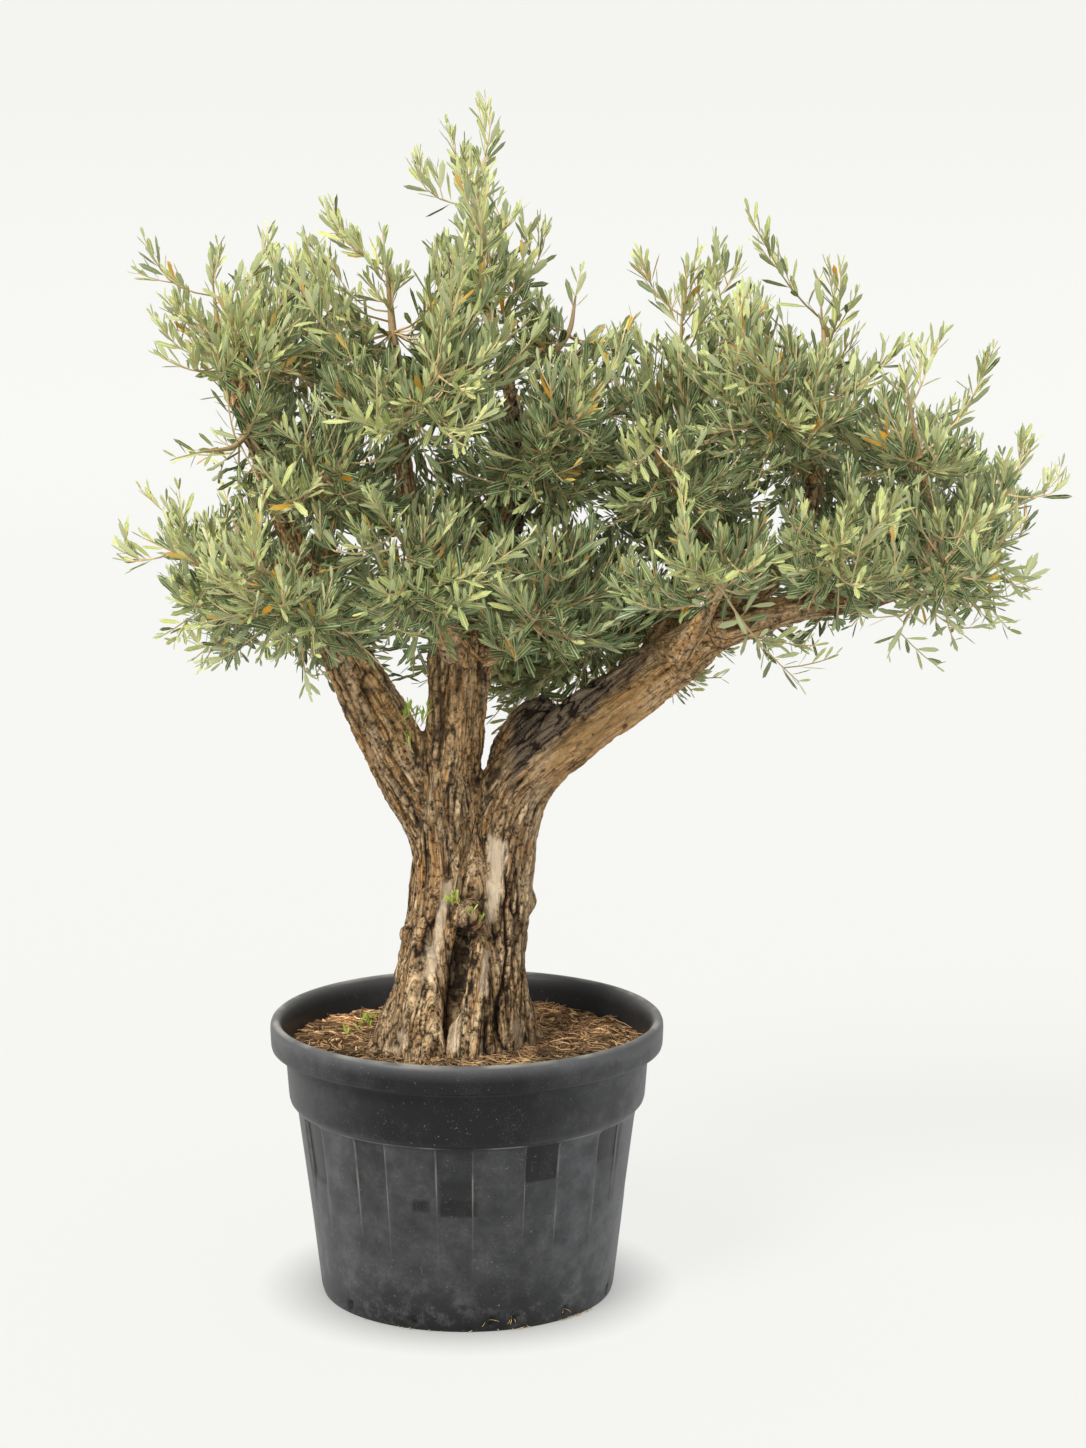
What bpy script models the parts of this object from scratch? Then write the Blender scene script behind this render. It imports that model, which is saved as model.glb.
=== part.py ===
"""An old olive tree with a thick split trunk, standing in a large moulded nursery pot.

Units are metres. The pot stands on z = 0, centred on the z axis, and the front is at -y. All wood from
the soil up to the cut ends of the branches is one solid. Each leafy bough is a solid of its own, set a
hair's breadth from the branch end that carries it. Leaves, shoots and boughs are placed by one seeded rule.
"""

import math

import bmesh
import bpy
import numpy as np

for old in list(bpy.data.objects):
    bpy.data.objects.remove(old, do_unlink=True)

# General
GAP = 0.0003
SEED = 11
UP = np.array([0.0, 0.0, 1.0])

# Pot, as (radius, height, share of the flute's depth), from the foot outside to the floor inside
POT_PROFILE = (
    (0.2403, 0.0, 0.0),
    (0.2575, 0.127, 0.0),
    (0.2809, 0.300, 1.0),
    (0.2815, 0.3045, 0.0),
    (0.2935, 0.312, 0.0),
    (0.3000, 0.403, 0.0),
    (0.3095, 0.443, 0.0),
    (0.3190, 0.443, 0.0),
    (0.3215, 0.407, 0.0),
    (0.3250, 0.446, 0.0),
    (0.3195, 0.4527, 0.0),
    (0.3125, 0.4527, 0.0),
    (0.3065, 0.446, 0.0),
    (0.2955, 0.400, 0.0),
    (0.2759, 0.300, 1.0),
    (0.2353, 0.006, 0.0),
)
FLUTES = 12
FLUTE_START = -3.0
FLUTE_COLUMNS = ((-6.6, 0.0), (-5.6, 1.0), (5.6, 1.0), (6.6, 0.0), (15.0, 0.0))
FLUTE_DEPTH = 0.005
DRAIN_RADIUS = 0.005
DRAIN_HEIGHT = 0.017
DRAIN_START = 10.0

# Soil
SOIL_LEVEL = 0.410
SOIL_RINGS = ((0.240, 0.005), (0.178, 0.0))
SOIL_COLUMNS = 20

# Trunk and limbs, as (x, y, z, radius) along each piece of wood
STUB_RADIUS = 0.060
STUB_DEPTH = 0.120
STUB_RISE = 0.060
TRUNK_KEPT = 0.70
WOOD = {
    "left_stem": (14, (
        (-0.062, -0.004, 0.360, 0.094), (-0.058, -0.004, 0.420, 0.084), (-0.052, -0.006, 0.480, 0.072),
        (-0.044, -0.004, 0.560, 0.064), (-0.036, -0.002, 0.640, 0.060), (-0.028, 0.000, 0.720, 0.059),
        (-0.030, 0.000, 0.800, 0.058), (-0.029, 0.000, 0.870, 0.050), (-0.022, 0.000, 0.940, 0.047),
        (-0.015, 0.000, 1.010, 0.048), (-0.012, 0.002, 1.060, 0.050), (-0.010, 0.004, 1.105, 0.040),
    )),
    "right_stem": (14, (
        (0.042, -0.004, 0.360, 0.086), (0.042, -0.004, 0.420, 0.070), (0.044, -0.006, 0.480, 0.058),
        (0.046, -0.004, 0.560, 0.052), (0.050, -0.002, 0.640, 0.053), (0.056, 0.000, 0.720, 0.057),
        (0.065, 0.000, 0.790, 0.058), (0.086, 0.000, 0.848, 0.056), (0.125, 0.000, 0.893, 0.052),
        (0.178, 0.000, 0.936, 0.050), (0.252, 0.000, 0.988, 0.048), (0.318, 0.000, 1.036, 0.045),
        (0.384, 0.002, 1.085, 0.038),
    )),
    "left_limb": (12, (
        (-0.030, 0.000, 0.680, 0.040), (-0.058, 0.000, 0.790, 0.046), (-0.094, -0.002, 0.868, 0.050),
        (-0.135, -0.008, 0.953, 0.047), (-0.168, -0.010, 1.018, 0.043), (-0.200, -0.012, 1.084, 0.037),
        (-0.228, -0.012, 1.140, 0.030),
    )),
    "dead_wood": (8, (
        (0.070, 0.012, 0.830, 0.040), (0.088, 0.018, 0.905, 0.036), (0.128, 0.024, 0.966, 0.034),
        (0.152, 0.026, 0.992, 0.024),
    )),
    "web": (8, (
        (0.006, -0.002, 0.600, 0.034), (0.010, -0.010, 0.680, 0.044), (0.012, -0.006, 0.780, 0.030),
    )),
    "front_root": (7, (
        (0.034, -0.018, 0.580, 0.024), (0.034, -0.056, 0.470, 0.032), (0.036, -0.086, 0.360, 0.046),
    )),
    "left_front_root": (7, (
        (-0.048, -0.020, 0.600, 0.026), (-0.056, -0.060, 0.470, 0.034), (-0.066, -0.090, 0.360, 0.048),
    )),
    "left_root": (7, (
        (-0.070, -0.004, 0.560, 0.026), (-0.104, -0.024, 0.450, 0.030), (-0.130, -0.040, 0.360, 0.042),
    )),
    "back_root": (7, (
        (-0.010, 0.016, 0.600, 0.036), (-0.014, 0.054, 0.460, 0.042), (-0.018, 0.084, 0.360, 0.052),
    )),
    "right_root": (7, (
        (0.060, 0.006, 0.540, 0.024), (0.082, 0.024, 0.450, 0.030), (0.100, 0.038, 0.360, 0.040),
    )),
    "left_up": (7, (
        (-0.215, -0.012, 1.110, 0.030), (-0.262, -0.018, 1.215, 0.022), (-0.302, -0.022, 1.310, 0.017),
        (-0.340, -0.022, 1.420, 0.012), (-0.374, -0.020, 1.520, 0.0072),
    )),
    "left_out": (6, (
        (-0.210, -0.012, 1.100, 0.026), (-0.275, -0.018, 1.142, 0.016), (-0.345, -0.020, 1.174, 0.0085),
    )),
    "left_back": (6, (
        (-0.190, -0.005, 1.070, 0.028), (-0.212, 0.060, 1.150, 0.018), (-0.236, 0.146, 1.250, 0.0090),
    )),
    "left_front": (6, (
        (-0.215, -0.015, 1.110, 0.024), (-0.230, -0.074, 1.150, 0.015), (-0.246, -0.138, 1.176, 0.0085),
    )),
    "centre_left": (7, (
        (-0.018, 0.000, 1.060, 0.036), (-0.048, -0.012, 1.150, 0.028), (-0.070, -0.020, 1.230, 0.023),
        (-0.092, -0.022, 1.330, 0.016), (-0.104, -0.018, 1.440, 0.012), (-0.112, -0.014, 1.560, 0.0072),
    )),
    "centre_right": (7, (
        (-0.004, 0.004, 1.060, 0.036), (0.032, 0.010, 1.140, 0.027), (0.060, 0.018, 1.220, 0.022),
        (0.082, 0.024, 1.320, 0.017), (0.080, 0.018, 1.440, 0.013), (0.048, 0.008, 1.580, 0.0080),
    )),
    "centre_back": (6, (
        (-0.008, 0.010, 1.050, 0.034), (-0.002, 0.070, 1.130, 0.022), (0.016, 0.130, 1.210, 0.017),
        (0.036, 0.204, 1.270, 0.0090),
    )),
    "centre_front": (6, (
        (-0.012, -0.010, 1.060, 0.034), (-0.034, -0.084, 1.130, 0.017), (-0.056, -0.158, 1.200, 0.0085),
    )),
    "centre_spur": (6, (
        (0.000, 0.000, 1.050, 0.022), (0.054, -0.012, 1.064, 0.014), (0.094, -0.086, 1.112, 0.0085),
    )),
    "right_lower": (8, (
        (0.350, 0.000, 1.062, 0.036), (0.400, -0.004, 1.096, 0.034), (0.459, -0.012, 1.117, 0.028),
        (0.550, -0.025, 1.143, 0.023), (0.648, -0.020, 1.155, 0.019), (0.723, 0.000, 1.180, 0.016),
        (0.800, 0.010, 1.238, 0.0100),
    )),
    "right_upper": (7, (
        (0.340, 0.004, 1.062, 0.034), (0.425, 0.028, 1.130, 0.026), (0.505, 0.050, 1.190, 0.020),
        (0.556, 0.068, 1.280, 0.015), (0.578, 0.088, 1.400, 0.0090),
    )),
    "right_inner": (6, (
        (0.490, 0.046, 1.178, 0.019), (0.440, 0.026, 1.218, 0.016), (0.396, 0.016, 1.262, 0.014),
        (0.366, 0.014, 1.370, 0.0085),
    )),
    "right_back": (6, (
        (0.290, 0.010, 1.020, 0.030), (0.335, 0.090, 1.110, 0.018), (0.374, 0.176, 1.216, 0.0090),
    )),
    "right_front": (6, (
        (0.330, -0.006, 1.050, 0.028), (0.368, -0.080, 1.110, 0.016), (0.398, -0.164, 1.178, 0.0085),
    )),
}
KNOBS = ((0.005, -0.050, 0.646, 0.021), (0.100, -0.012, 0.655, 0.021), (-0.094, -0.012, 0.600, 0.018))

# Crown, as (name, wood that carries it, centre, half sizes). "end" in the wood's name marks its own end.
CROWN = (
    ("left_1", "left_out end", (-0.430, -0.030, 1.205), (0.130, 0.140, 0.085)),
    ("left_2", "left_out", (-0.385, 0.180, 1.240), (0.140, 0.130, 0.100)),
    ("left_3", "left_front end", (-0.290, -0.230, 1.200), (0.140, 0.130, 0.095)),
    ("left_4", "left_up", (-0.375, -0.080, 1.400), (0.130, 0.140, 0.110)),
    ("left_5", "left_back end", (-0.250, 0.250, 1.370), (0.140, 0.140, 0.120)),
    ("left_6", "left_up end", (-0.390, -0.020, 1.600), (0.130, 0.130, 0.110)),
    ("left_7", "left_up", (-0.200, -0.170, 1.370), (0.130, 0.130, 0.110)),
    ("left_8", "left_up", (-0.240, 0.120, 1.550), (0.120, 0.130, 0.120)),
    ("centre_1", "centre_left end", (-0.120, -0.020, 1.640), (0.110, 0.130, 0.110)),
    ("centre_2", "centre_front end", (-0.090, -0.240, 1.255), (0.140, 0.130, 0.100)),
    ("centre_3", "centre_left", (-0.050, -0.190, 1.490), (0.130, 0.130, 0.120)),
    ("centre_4", "centre_left", (-0.060, 0.230, 1.520), (0.140, 0.130, 0.120)),
    ("centre_5", "centre_right end", (0.020, 0.000, 1.740), (0.090, 0.100, 0.150)),
    ("centre_6", "centre_back end", (0.040, 0.290, 1.300), (0.130, 0.120, 0.110)),
    ("centre_7", "centre_spur end", (0.130, -0.180, 1.200), (0.120, 0.120, 0.090)),
    ("centre_8", "centre_right", (0.150, -0.130, 1.420), (0.120, 0.130, 0.110)),
    ("centre_9", "centre_right", (0.165, 0.130, 1.590), (0.120, 0.130, 0.110)),
    ("centre_10", "centre_back", (0.190, 0.220, 1.420), (0.120, 0.130, 0.110)),
    ("centre_11", "right_back", (0.190, 0.190, 1.130), (0.120, 0.110, 0.080)),
    ("right_1", "right_inner end", (0.350, 0.010, 1.560), (0.130, 0.130, 0.110)),
    ("right_2", "right_inner", (0.310, -0.140, 1.380), (0.120, 0.130, 0.110)),
    ("right_3", "right_back end", (0.390, 0.240, 1.330), (0.140, 0.130, 0.120)),
    ("right_4", "right_front end", (0.400, -0.250, 1.230), (0.130, 0.120, 0.090)),
    ("right_5", "right_upper", (0.490, -0.150, 1.470), (0.130, 0.130, 0.120)),
    ("right_6", "right_upper end", (0.580, 0.130, 1.560), (0.140, 0.130, 0.120)),
    ("right_7", "right_upper", (0.590, 0.270, 1.340), (0.140, 0.130, 0.110)),
    ("right_8", "right_lower", (0.580, -0.240, 1.260), (0.130, 0.130, 0.090)),
    ("right_9", "right_lower", (0.710, -0.060, 1.440), (0.130, 0.130, 0.110)),
    ("right_10", "right_lower", (0.750, 0.180, 1.330), (0.130, 0.130, 0.110)),
    ("right_11", "right_lower", (0.740, -0.210, 1.250), (0.120, 0.120, 0.085)),
    ("right_12", "right_lower end", (0.870, 0.010, 1.320), (0.110, 0.130, 0.100)),
)
TIPS = (
    (0.045, 0.00, 1.956), (-0.093, -0.02, 1.866), (-0.220, 0.03, 1.800), (-0.141, -0.06, 1.702),
    (-0.498, -0.04, 1.717), (-0.458, -0.10, 1.520), (-0.507, 0.08, 1.310), (-0.575, -0.02, 1.244),
    (-0.487, -0.08, 1.085), (0.153, 0.04, 1.749), (0.272, 0.02, 1.717), (0.407, 0.00, 1.725),
    (0.502, 0.06, 1.744), (0.605, 0.02, 1.702), (0.751, -0.02, 1.583), (0.847, 0.00, 1.544),
    (0.906, 0.03, 1.416), (0.985, 0.00, 1.347), (0.929, 0.04, 1.142), (0.543, -0.10, 1.016),
    (-0.300, -0.42, 1.330), (0.020, -0.40, 1.420), (0.330, -0.43, 1.330), (0.640, -0.41, 1.360),
    (-0.180, 0.44, 1.500), (0.160, 0.45, 1.430), (0.480, 0.44, 1.440), (0.760, 0.36, 1.430),
)

# Boughs
BRANCH_RADIUS = (0.0105, 0.0068)
BRANCH_SIDES = 5
STEM_RADIUS = 0.0030
CLEAR_HEART = 0.045
SHOOTS = 4
SHOOT_ANGLE = 48.0
SHOOT_RADIUS = (0.0026, 0.0013)
LEAF_BAND = 0.009
LEAF_STEP = 0.024
LEAF_LENGTH = (0.053, 0.067)
LEAF_WIDTH = 0.0160
LEAF_THICK = 0.0018
PAIRS = 3
TIP_PAIRS = 5
TIP_LEAF = 0.034


def material(name, colour, roughness):
    """A Principled material of one colour."""
    made = bpy.data.materials.new(name)
    made.use_nodes = True
    shader = made.node_tree.nodes["Principled BSDF"]
    shader.inputs["Base Color"].default_value = (*colour, 1.0)
    shader.inputs["Roughness"].default_value = roughness
    shader.inputs["Metallic"].default_value = 0.0
    made.diffuse_color = (*colour, 1.0)
    return made


def solid(name, points, faces, look):
    """A mesh object from points and faces."""
    mesh = bpy.data.meshes.new(name)
    mesh.from_pydata([tuple(map(float, p)) for p in points], [], [tuple(map(int, f)) for f in faces])
    mesh.validate()
    mesh.materials.append(look)
    made = bpy.data.objects.new(name, mesh)
    bpy.context.scene.collection.objects.link(made)
    return made


def combine(target, others, operation, solver="MANIFOLD"):
    """Join the other objects to the target, or cut them from it, apply that and remove them.

    Every operand is a closed mesh, so the manifold solver suits them all. It joins many twigs in seconds.
    """
    group = bpy.data.collections.new(target.name + "_operands")
    bpy.context.scene.collection.children.link(group)
    for other in others:
        for holder in list(other.users_collection):
            holder.objects.unlink(other)
        group.objects.link(other)
        other.hide_render = True
        other.display_type = "WIRE"
    step = target.modifiers.new(operation.title(), "BOOLEAN")
    step.operation = operation
    step.operand_type = "COLLECTION"
    step.collection = group
    step.solver = solver
    bpy.context.view_layer.update()
    graph = bpy.context.evaluated_depsgraph_get()
    joined = bpy.data.meshes.new_from_object(target.evaluated_get(graph))
    target.modifiers.clear()
    target.data = joined
    for other in others:
        bpy.data.objects.remove(other, do_unlink=True)
    bpy.data.collections.remove(group)


def smooth(made, angle):
    """Smooth shading, with the edges steeper than the angle left sharp."""
    made.data.shade_smooth()
    made.data.set_sharp_from_angle(angle=math.radians(angle))


def unit(vector):
    """The vector at length one."""
    return vector / np.linalg.norm(vector)


def frames(path):
    """Along, side and cross directions at each point of the path, with no twist between them."""
    along = np.gradient(path, axis=0)
    along /= np.linalg.norm(along, axis=1)[:, None]
    first = np.cross(along[0], (0.31, 0.93, 0.19))
    sides = [unit(first)]
    for now in along[1:]:
        sides.append(unit(sides[-1] - now * np.dot(sides[-1], now)))
    sides = np.array(sides)
    return along, sides, np.cross(along, sides)


def band(lower, upper, count, rising=True):
    """Triangles between two rings of the same count, each given by the index of its first point."""
    faces = []
    for i in range(count):
        n = (i + 1) % count
        if rising:
            faces += [(lower + i, lower + n, upper + n), (lower + i, upper + n, upper + i)]
        else:
            faces += [(lower + i, lower + n, upper + i), (lower + n, upper + n, upper + i)]
    return faces


def tube(path, radii, sides, flute=0.0, phase=0.0):
    """Points and faces of a closed round piece of wood. Its section swells and dips with the flute share."""
    along, side, cross = frames(path)
    angle = np.arange(sides) * 2 * math.pi / sides
    points = []
    for i, centre in enumerate(path):
        swell = 0.6 * np.cos(5 * angle + phase + 0.25 * i) + 0.4 * np.cos(3 * angle - phase + 0.2 * i)
        reach = radii[i] * (1 + flute * swell)
        points.extend(centre + reach[k] * (math.cos(a) * side[i] + math.sin(a) * cross[i])
                      for k, a in enumerate(angle))
    faces = [tuple(range(sides))[::-1]]
    for i in range(len(path) - 1):
        faces += band(i * sides, (i + 1) * sides, sides)
    last = (len(path) - 1) * sides
    faces.append(tuple(range(last, last + sides)))
    return points, faces


def bend(start, middle, end, shares):
    """Points, at the given shares of the way, of a curve that leaves the start toward the middle."""
    t = np.asarray(shares)[:, None]
    return (1 - t) ** 2 * start + 2 * t * (1 - t) * middle + t ** 2 * end


def clearance(first, second):
    """Free distance between each capsule of the first set and each of the second."""
    p, q, r = (np.asarray(v, float)[:, None] for v in first)
    u, v, w = (np.asarray(v, float)[None] for v in second)
    a_way, b_way, apart = q - p, v - u, p - u
    a = (a_way ** 2).sum(-1) + 1e-12
    e = (b_way ** 2).sum(-1) + 1e-12
    b = (a_way * b_way).sum(-1)
    c = (a_way * apart).sum(-1)
    f = (b_way * apart).sum(-1)
    s = np.clip((b * f - c * e) / np.maximum(a * e - b * b, 1e-15), 0, 1)
    t = np.clip((b * s + f) / e, 0, 1)
    s = np.clip((b * t - c) / a, 0, 1)
    space = apart + a_way * s[..., None] - b_way * t[..., None]
    return np.linalg.norm(space, axis=-1) - r - w


def pot():
    """The moulded pot: one profile turned round, with flutes pressed in and drain holes cut."""
    count = FLUTES * len(FLUTE_COLUMNS)
    turns, shares = [], []
    for k in range(FLUTES):
        for offset, share in FLUTE_COLUMNS:
            turns.append(math.radians(FLUTE_START + 360 / FLUTES * k + offset))
            shares.append(share)
    turns, shares = np.array(turns), np.array(shares)
    points, faces = [], []
    for radius, height, press in POT_PROFILE:
        reach = radius - FLUTE_DEPTH * press * shares
        points.extend(zip(reach * np.sin(turns), -reach * np.cos(turns), np.full(count, height)))
    for i in range(len(POT_PROFILE) - 1):
        faces += band(i * count, (i + 1) * count, count)
    points += [(0, 0, 0), (0, 0, POT_PROFILE[-1][1])]
    foot, floor = len(points) - 2, len(points) - 1
    last = (len(POT_PROFILE) - 1) * count
    for i in range(count):
        j = (i + 1) % count
        faces += [(foot, j, i), (floor, last + i, last + j)]
    made = solid("pot", points, faces, PLASTIC)
    drills = []
    for k in range(FLUTES):
        turn = math.radians(DRAIN_START + 360 / FLUTES * k)
        bpy.ops.mesh.primitive_cylinder_add(
            vertices=6,
            radius=DRAIN_RADIUS,
            depth=0.030,
            location=(0.2395 * math.sin(turn), -0.2395 * math.cos(turn), DRAIN_HEIGHT),
            rotation=(math.pi / 2, 0, turn),
        )
        drills.append(bpy.context.object)
    combine(made, drills, "DIFFERENCE")
    smooth(made, 20)
    return turns, shares


def soil(turns, shares):
    """The root ball: it fills the pot, is a little uneven on top and has a plain hole for the stub."""
    rng = np.random.default_rng(SEED)
    count = len(turns)
    inside = [(r - 0.0004, z, press) for r, z, press in POT_PROFILE[:-4:-1]]
    inside[0] = (inside[0][0], inside[0][1] + GAP, 0.0)
    points, faces = [], []
    for radius, height, press in inside:
        reach = radius - FLUTE_DEPTH * press * shares
        points.extend(zip(reach * np.sin(turns), -reach * np.cos(turns), np.full(count, height)))
    (low_r, low_z, _), (high_r, high_z, _) = POT_PROFILE[-3], POT_PROFILE[-4]
    height = SOIL_LEVEL + 0.003 + rng.uniform(-0.003, 0.003, count)
    reach = np.interp(height, (low_z, high_z), (low_r, high_r)) - 0.0005
    points.extend(zip(reach * np.sin(turns), -reach * np.cos(turns), height))
    edge = len(inside) * count
    for i in range(len(inside)):
        faces += band(i * count, (i + 1) * count, count, False)
    inner = np.arange(SOIL_COLUMNS) * 2 * math.pi / SOIL_COLUMNS
    rings = [(r, SOIL_LEVEL + rng.uniform(-rough, rough, SOIL_COLUMNS)) for r, rough in SOIL_RINGS]
    hole = STUB_RADIUS + GAP * 1.2
    rings.append((hole, np.full(SOIL_COLUMNS, SOIL_LEVEL)))
    rings.append((hole, np.full(SOIL_COLUMNS, SOIL_LEVEL - STUB_DEPTH - GAP)))
    starts = []
    for radius, heights in rings:
        starts.append(len(points))
        points.extend(zip(radius * np.sin(inner), -radius * np.cos(inner), heights))
    step = count // SOIL_COLUMNS
    for j in range(SOIL_COLUMNS):
        a, b = starts[0] + j, starts[0] + (j + 1) % SOIL_COLUMNS
        low = edge + step * j
        faces += [(low, low + 1, a), (low + 1, low + 2, a), (low + 2, edge + (step * (j + 1)) % count, b, a)]
    for first, second in zip(starts[:-1], starts[1:]):
        faces += band(first, second, SOIL_COLUMNS)
    faces.append(tuple(range(starts[-1], starts[-1] + SOIL_COLUMNS)))
    points.append((0, 0, inside[0][1]))
    faces += [(len(points) - 1, (i + 1) % count, i) for i in range(count)]
    return solid("soil", points, faces, EARTH)


def capsules(path, radii):
    """Capsules round the parts of a path."""
    return path[:-1], path[1:], np.maximum(radii[:-1], radii[1:])


def stem_route(k, end, ahead, size):
    """The stem of a bough: it goes on straight from the cut end of its branch, then bends upward."""
    centre, half = np.array(CROWN[k][2]), np.array(CROWN[k][3])
    start = end + ahead * GAP
    far = centre + unit(unit(centre - start) + 0.7 * UP) * half * 0.45
    middle = start + ahead * np.linalg.norm(far - start) * 0.45
    path = np.concatenate([[start, start + ahead * 0.012], bend(start, middle, far, (0.5, 1.0))])
    radii = np.array([size, size * 0.95, (size + STEM_RADIUS) / 2, STEM_RADIUS])
    return path, radii


def branch_routes(rng):
    """The short branch in the trunk's wood and the stem of each bough, clear of every other bough."""
    count = len(CROWN)
    cores = np.array([centre for _, _, centre, _ in CROWN])
    reach = np.full(count, CLEAR_HEART)
    wood = [capsules(np.array(line)[:, :3], np.array(line)[:, 3]) for _, line in WOOD.values()]
    routes, stems = [None] * count, [None] * count
    for k, (_, carrier, _, _) in enumerate(CROWN):
        if carrier.endswith("end"):
            line = np.array(WOOD[carrier.split()[0]][1])
            stems[k] = stem_route(k, line[-1, :3], unit(line[-1, :3] - line[-2, :3]), line[-1, 3])
    for k, (_, carrier, centre, half) in enumerate(CROWN):
        if stems[k] is not None:
            continue
        line = np.array(WOOD[carrier][1])
        centre, half = np.array(centre), np.array(half)
        others = np.arange(count) != k
        blocks = [(cores[others], cores[others], reach[others])]
        blocks += [capsules(*stem) for stem in stems if stem is not None]
        best = None
        for _ in range(150):
            where = rng.uniform(0.25, 0.90) * (len(line) - 1)
            i = int(where)
            start = line[i, :3] + (line[i + 1, :3] - line[i, :3]) * (where - i)
            way = unit(centre - start)
            end = centre - way * 0.58 / np.linalg.norm(way / half) + rng.uniform(-0.015, 0.015, 3)
            length = np.linalg.norm(end - start)
            if length < line[i, 3] + 0.030:
                continue
            run = unit(line[i + 1, :3] - line[i, :3])
            middle = start + (run * 0.5 + way * 0.5) * length * 0.5 + rng.uniform(-0.02, 0.02, 3)
            path, size = bend(start, middle, end, (0, 0.5, 1.0)), np.linspace(*BRANCH_RADIUS, 3)
            stem = stem_route(k, end, unit(path[-1] - path[-2]), size[-1])
            free = min(clearance(capsules(path, size), block).min() for block in blocks)
            free = min(free, *(clearance(capsules(stem[0][1:], stem[1][1:]), block).min()
                               for block in blocks + wood))
            score = 10 * min(free, 0.003) - 0.10 * length
            if best is None or score > best[0]:
                best = (score, path, size, stem)
        routes[k], stems[k] = best[1:3], best[3]
    return routes, stems


def trunk(routes):
    """All the bare wood in one solid: two stems grown together, roots, limbs, forks and short branches."""
    pieces = []
    for k, (name, (sides, line)) in enumerate(WOOD.items()):
        line = np.array(line)
        flute = 0.15 if sides > 10 else 0.06
        pieces.append(solid(name, *tube(line[:, :3], line[:, 3], sides, flute, 1.7 * k), BARK))
    for route in routes:
        if route is not None:
            pieces.append(solid("branch", *tube(route[0], route[1], BRANCH_SIDES), BARK))
    for x, y, z, radius in KNOBS:
        bpy.ops.mesh.primitive_ico_sphere_add(subdivisions=1, radius=radius, location=(x, y, z))
        pieces.append(bpy.context.object)
    bpy.ops.mesh.primitive_cylinder_add(
        vertices=SOIL_COLUMNS,
        radius=STUB_RADIUS,
        depth=STUB_DEPTH + STUB_RISE,
        location=(0, 0, SOIL_LEVEL + (STUB_RISE - STUB_DEPTH) / 2),
    )
    stub = bpy.context.object
    made = pieces.pop(0)
    made.name = "trunk"
    combine(made, pieces, "UNION")
    bpy.ops.mesh.primitive_cube_add(size=1, location=(0, 0, SOIL_LEVEL + GAP - 0.5))
    combine(made, [bpy.context.object], "DIFFERENCE")
    combine(made, [stub], "UNION")
    thin = made.modifiers.new("Thin", "DECIMATE")
    thin.ratio = TRUNK_KEPT
    bpy.context.view_layer.update()
    made.data = bpy.data.meshes.new_from_object(made.evaluated_get(bpy.context.evaluated_depsgraph_get()))
    made.modifiers.clear()
    made.data.materials.clear()
    made.data.materials.append(BARK)
    smooth(made, 40)


def shoot_layout(path_curve, pairs, rng):
    """Rings of a shoot, from its root to its tip, and the leaves that its short bands carry."""
    fine = bend(*path_curve, np.linspace(0, 1, 40))
    walked = np.concatenate([[0], np.cumsum(np.linalg.norm(np.diff(fine, axis=0), axis=1))])
    length = walked[-1]
    nodes = [length - 0.012 - LEAF_STEP * k for k in range(pairs)][::-1]
    stations = [0.0]
    for at in nodes:
        stations += [at - LEAF_BAND / 2, at + LEAF_BAND / 2]
    stations.append(length)
    path = np.stack([np.interp(stations, walked, fine[:, i]) for i in range(3)], axis=1)
    along, side, cross = frames(path)
    radii = np.interp(stations, (0, length), SHOOT_RADIUS)
    phase = rng.uniform(0, 2 * math.pi)
    phases = [phase - 0.6]
    for _ in nodes:
        phases += [phase, phase + math.pi / 3]
        phase += math.pi / 2
    leaves = []
    for k in range(pairs):
        ring = 1 + 2 * k
        age = (pairs - 1 - k) / max(pairs - 1, 1)
        for half, corner in ((0, 0), (1, 1)):
            turn = phases[ring] + math.pi / 3 + math.pi * half
            out = math.cos(turn) * side[ring] + math.sin(turn) * cross[ring]
            lean = math.radians(rng.uniform(30, 42) + 14 * age)
            way = math.cos(lean) * along[ring] + math.sin(lean) * out
            face = math.sin(lean) * along[ring] - math.cos(lean) * out
            size = rng.uniform(*LEAF_LENGTH) * (0.82 + 0.18 * min(1, 2 * age + 0.2))
            root = (path[ring] + path[ring + 1]) / 2
            leaves.append((k, half, root, way, face, size))
    return path, radii, phases, side, cross, leaves


def shoot_capsules(layout):
    """Capsules round the twig and round each leaf, with the pair that each belongs to (-1 for the twig)."""
    path, radii, _, _, _, leaves = layout
    starts, ends, size = [list(v) for v in capsules(path, radii)]
    owner = [-1] * len(starts)
    for k, _, root, way, face, reach in leaves:
        starts.append(root + way * 0.006)
        ends.append(root + way * reach)
        size.append(LEAF_WIDTH / 2)
        owner.append(k)
    return (np.array(starts), np.array(ends), np.array(size)), np.array(owner)


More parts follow.
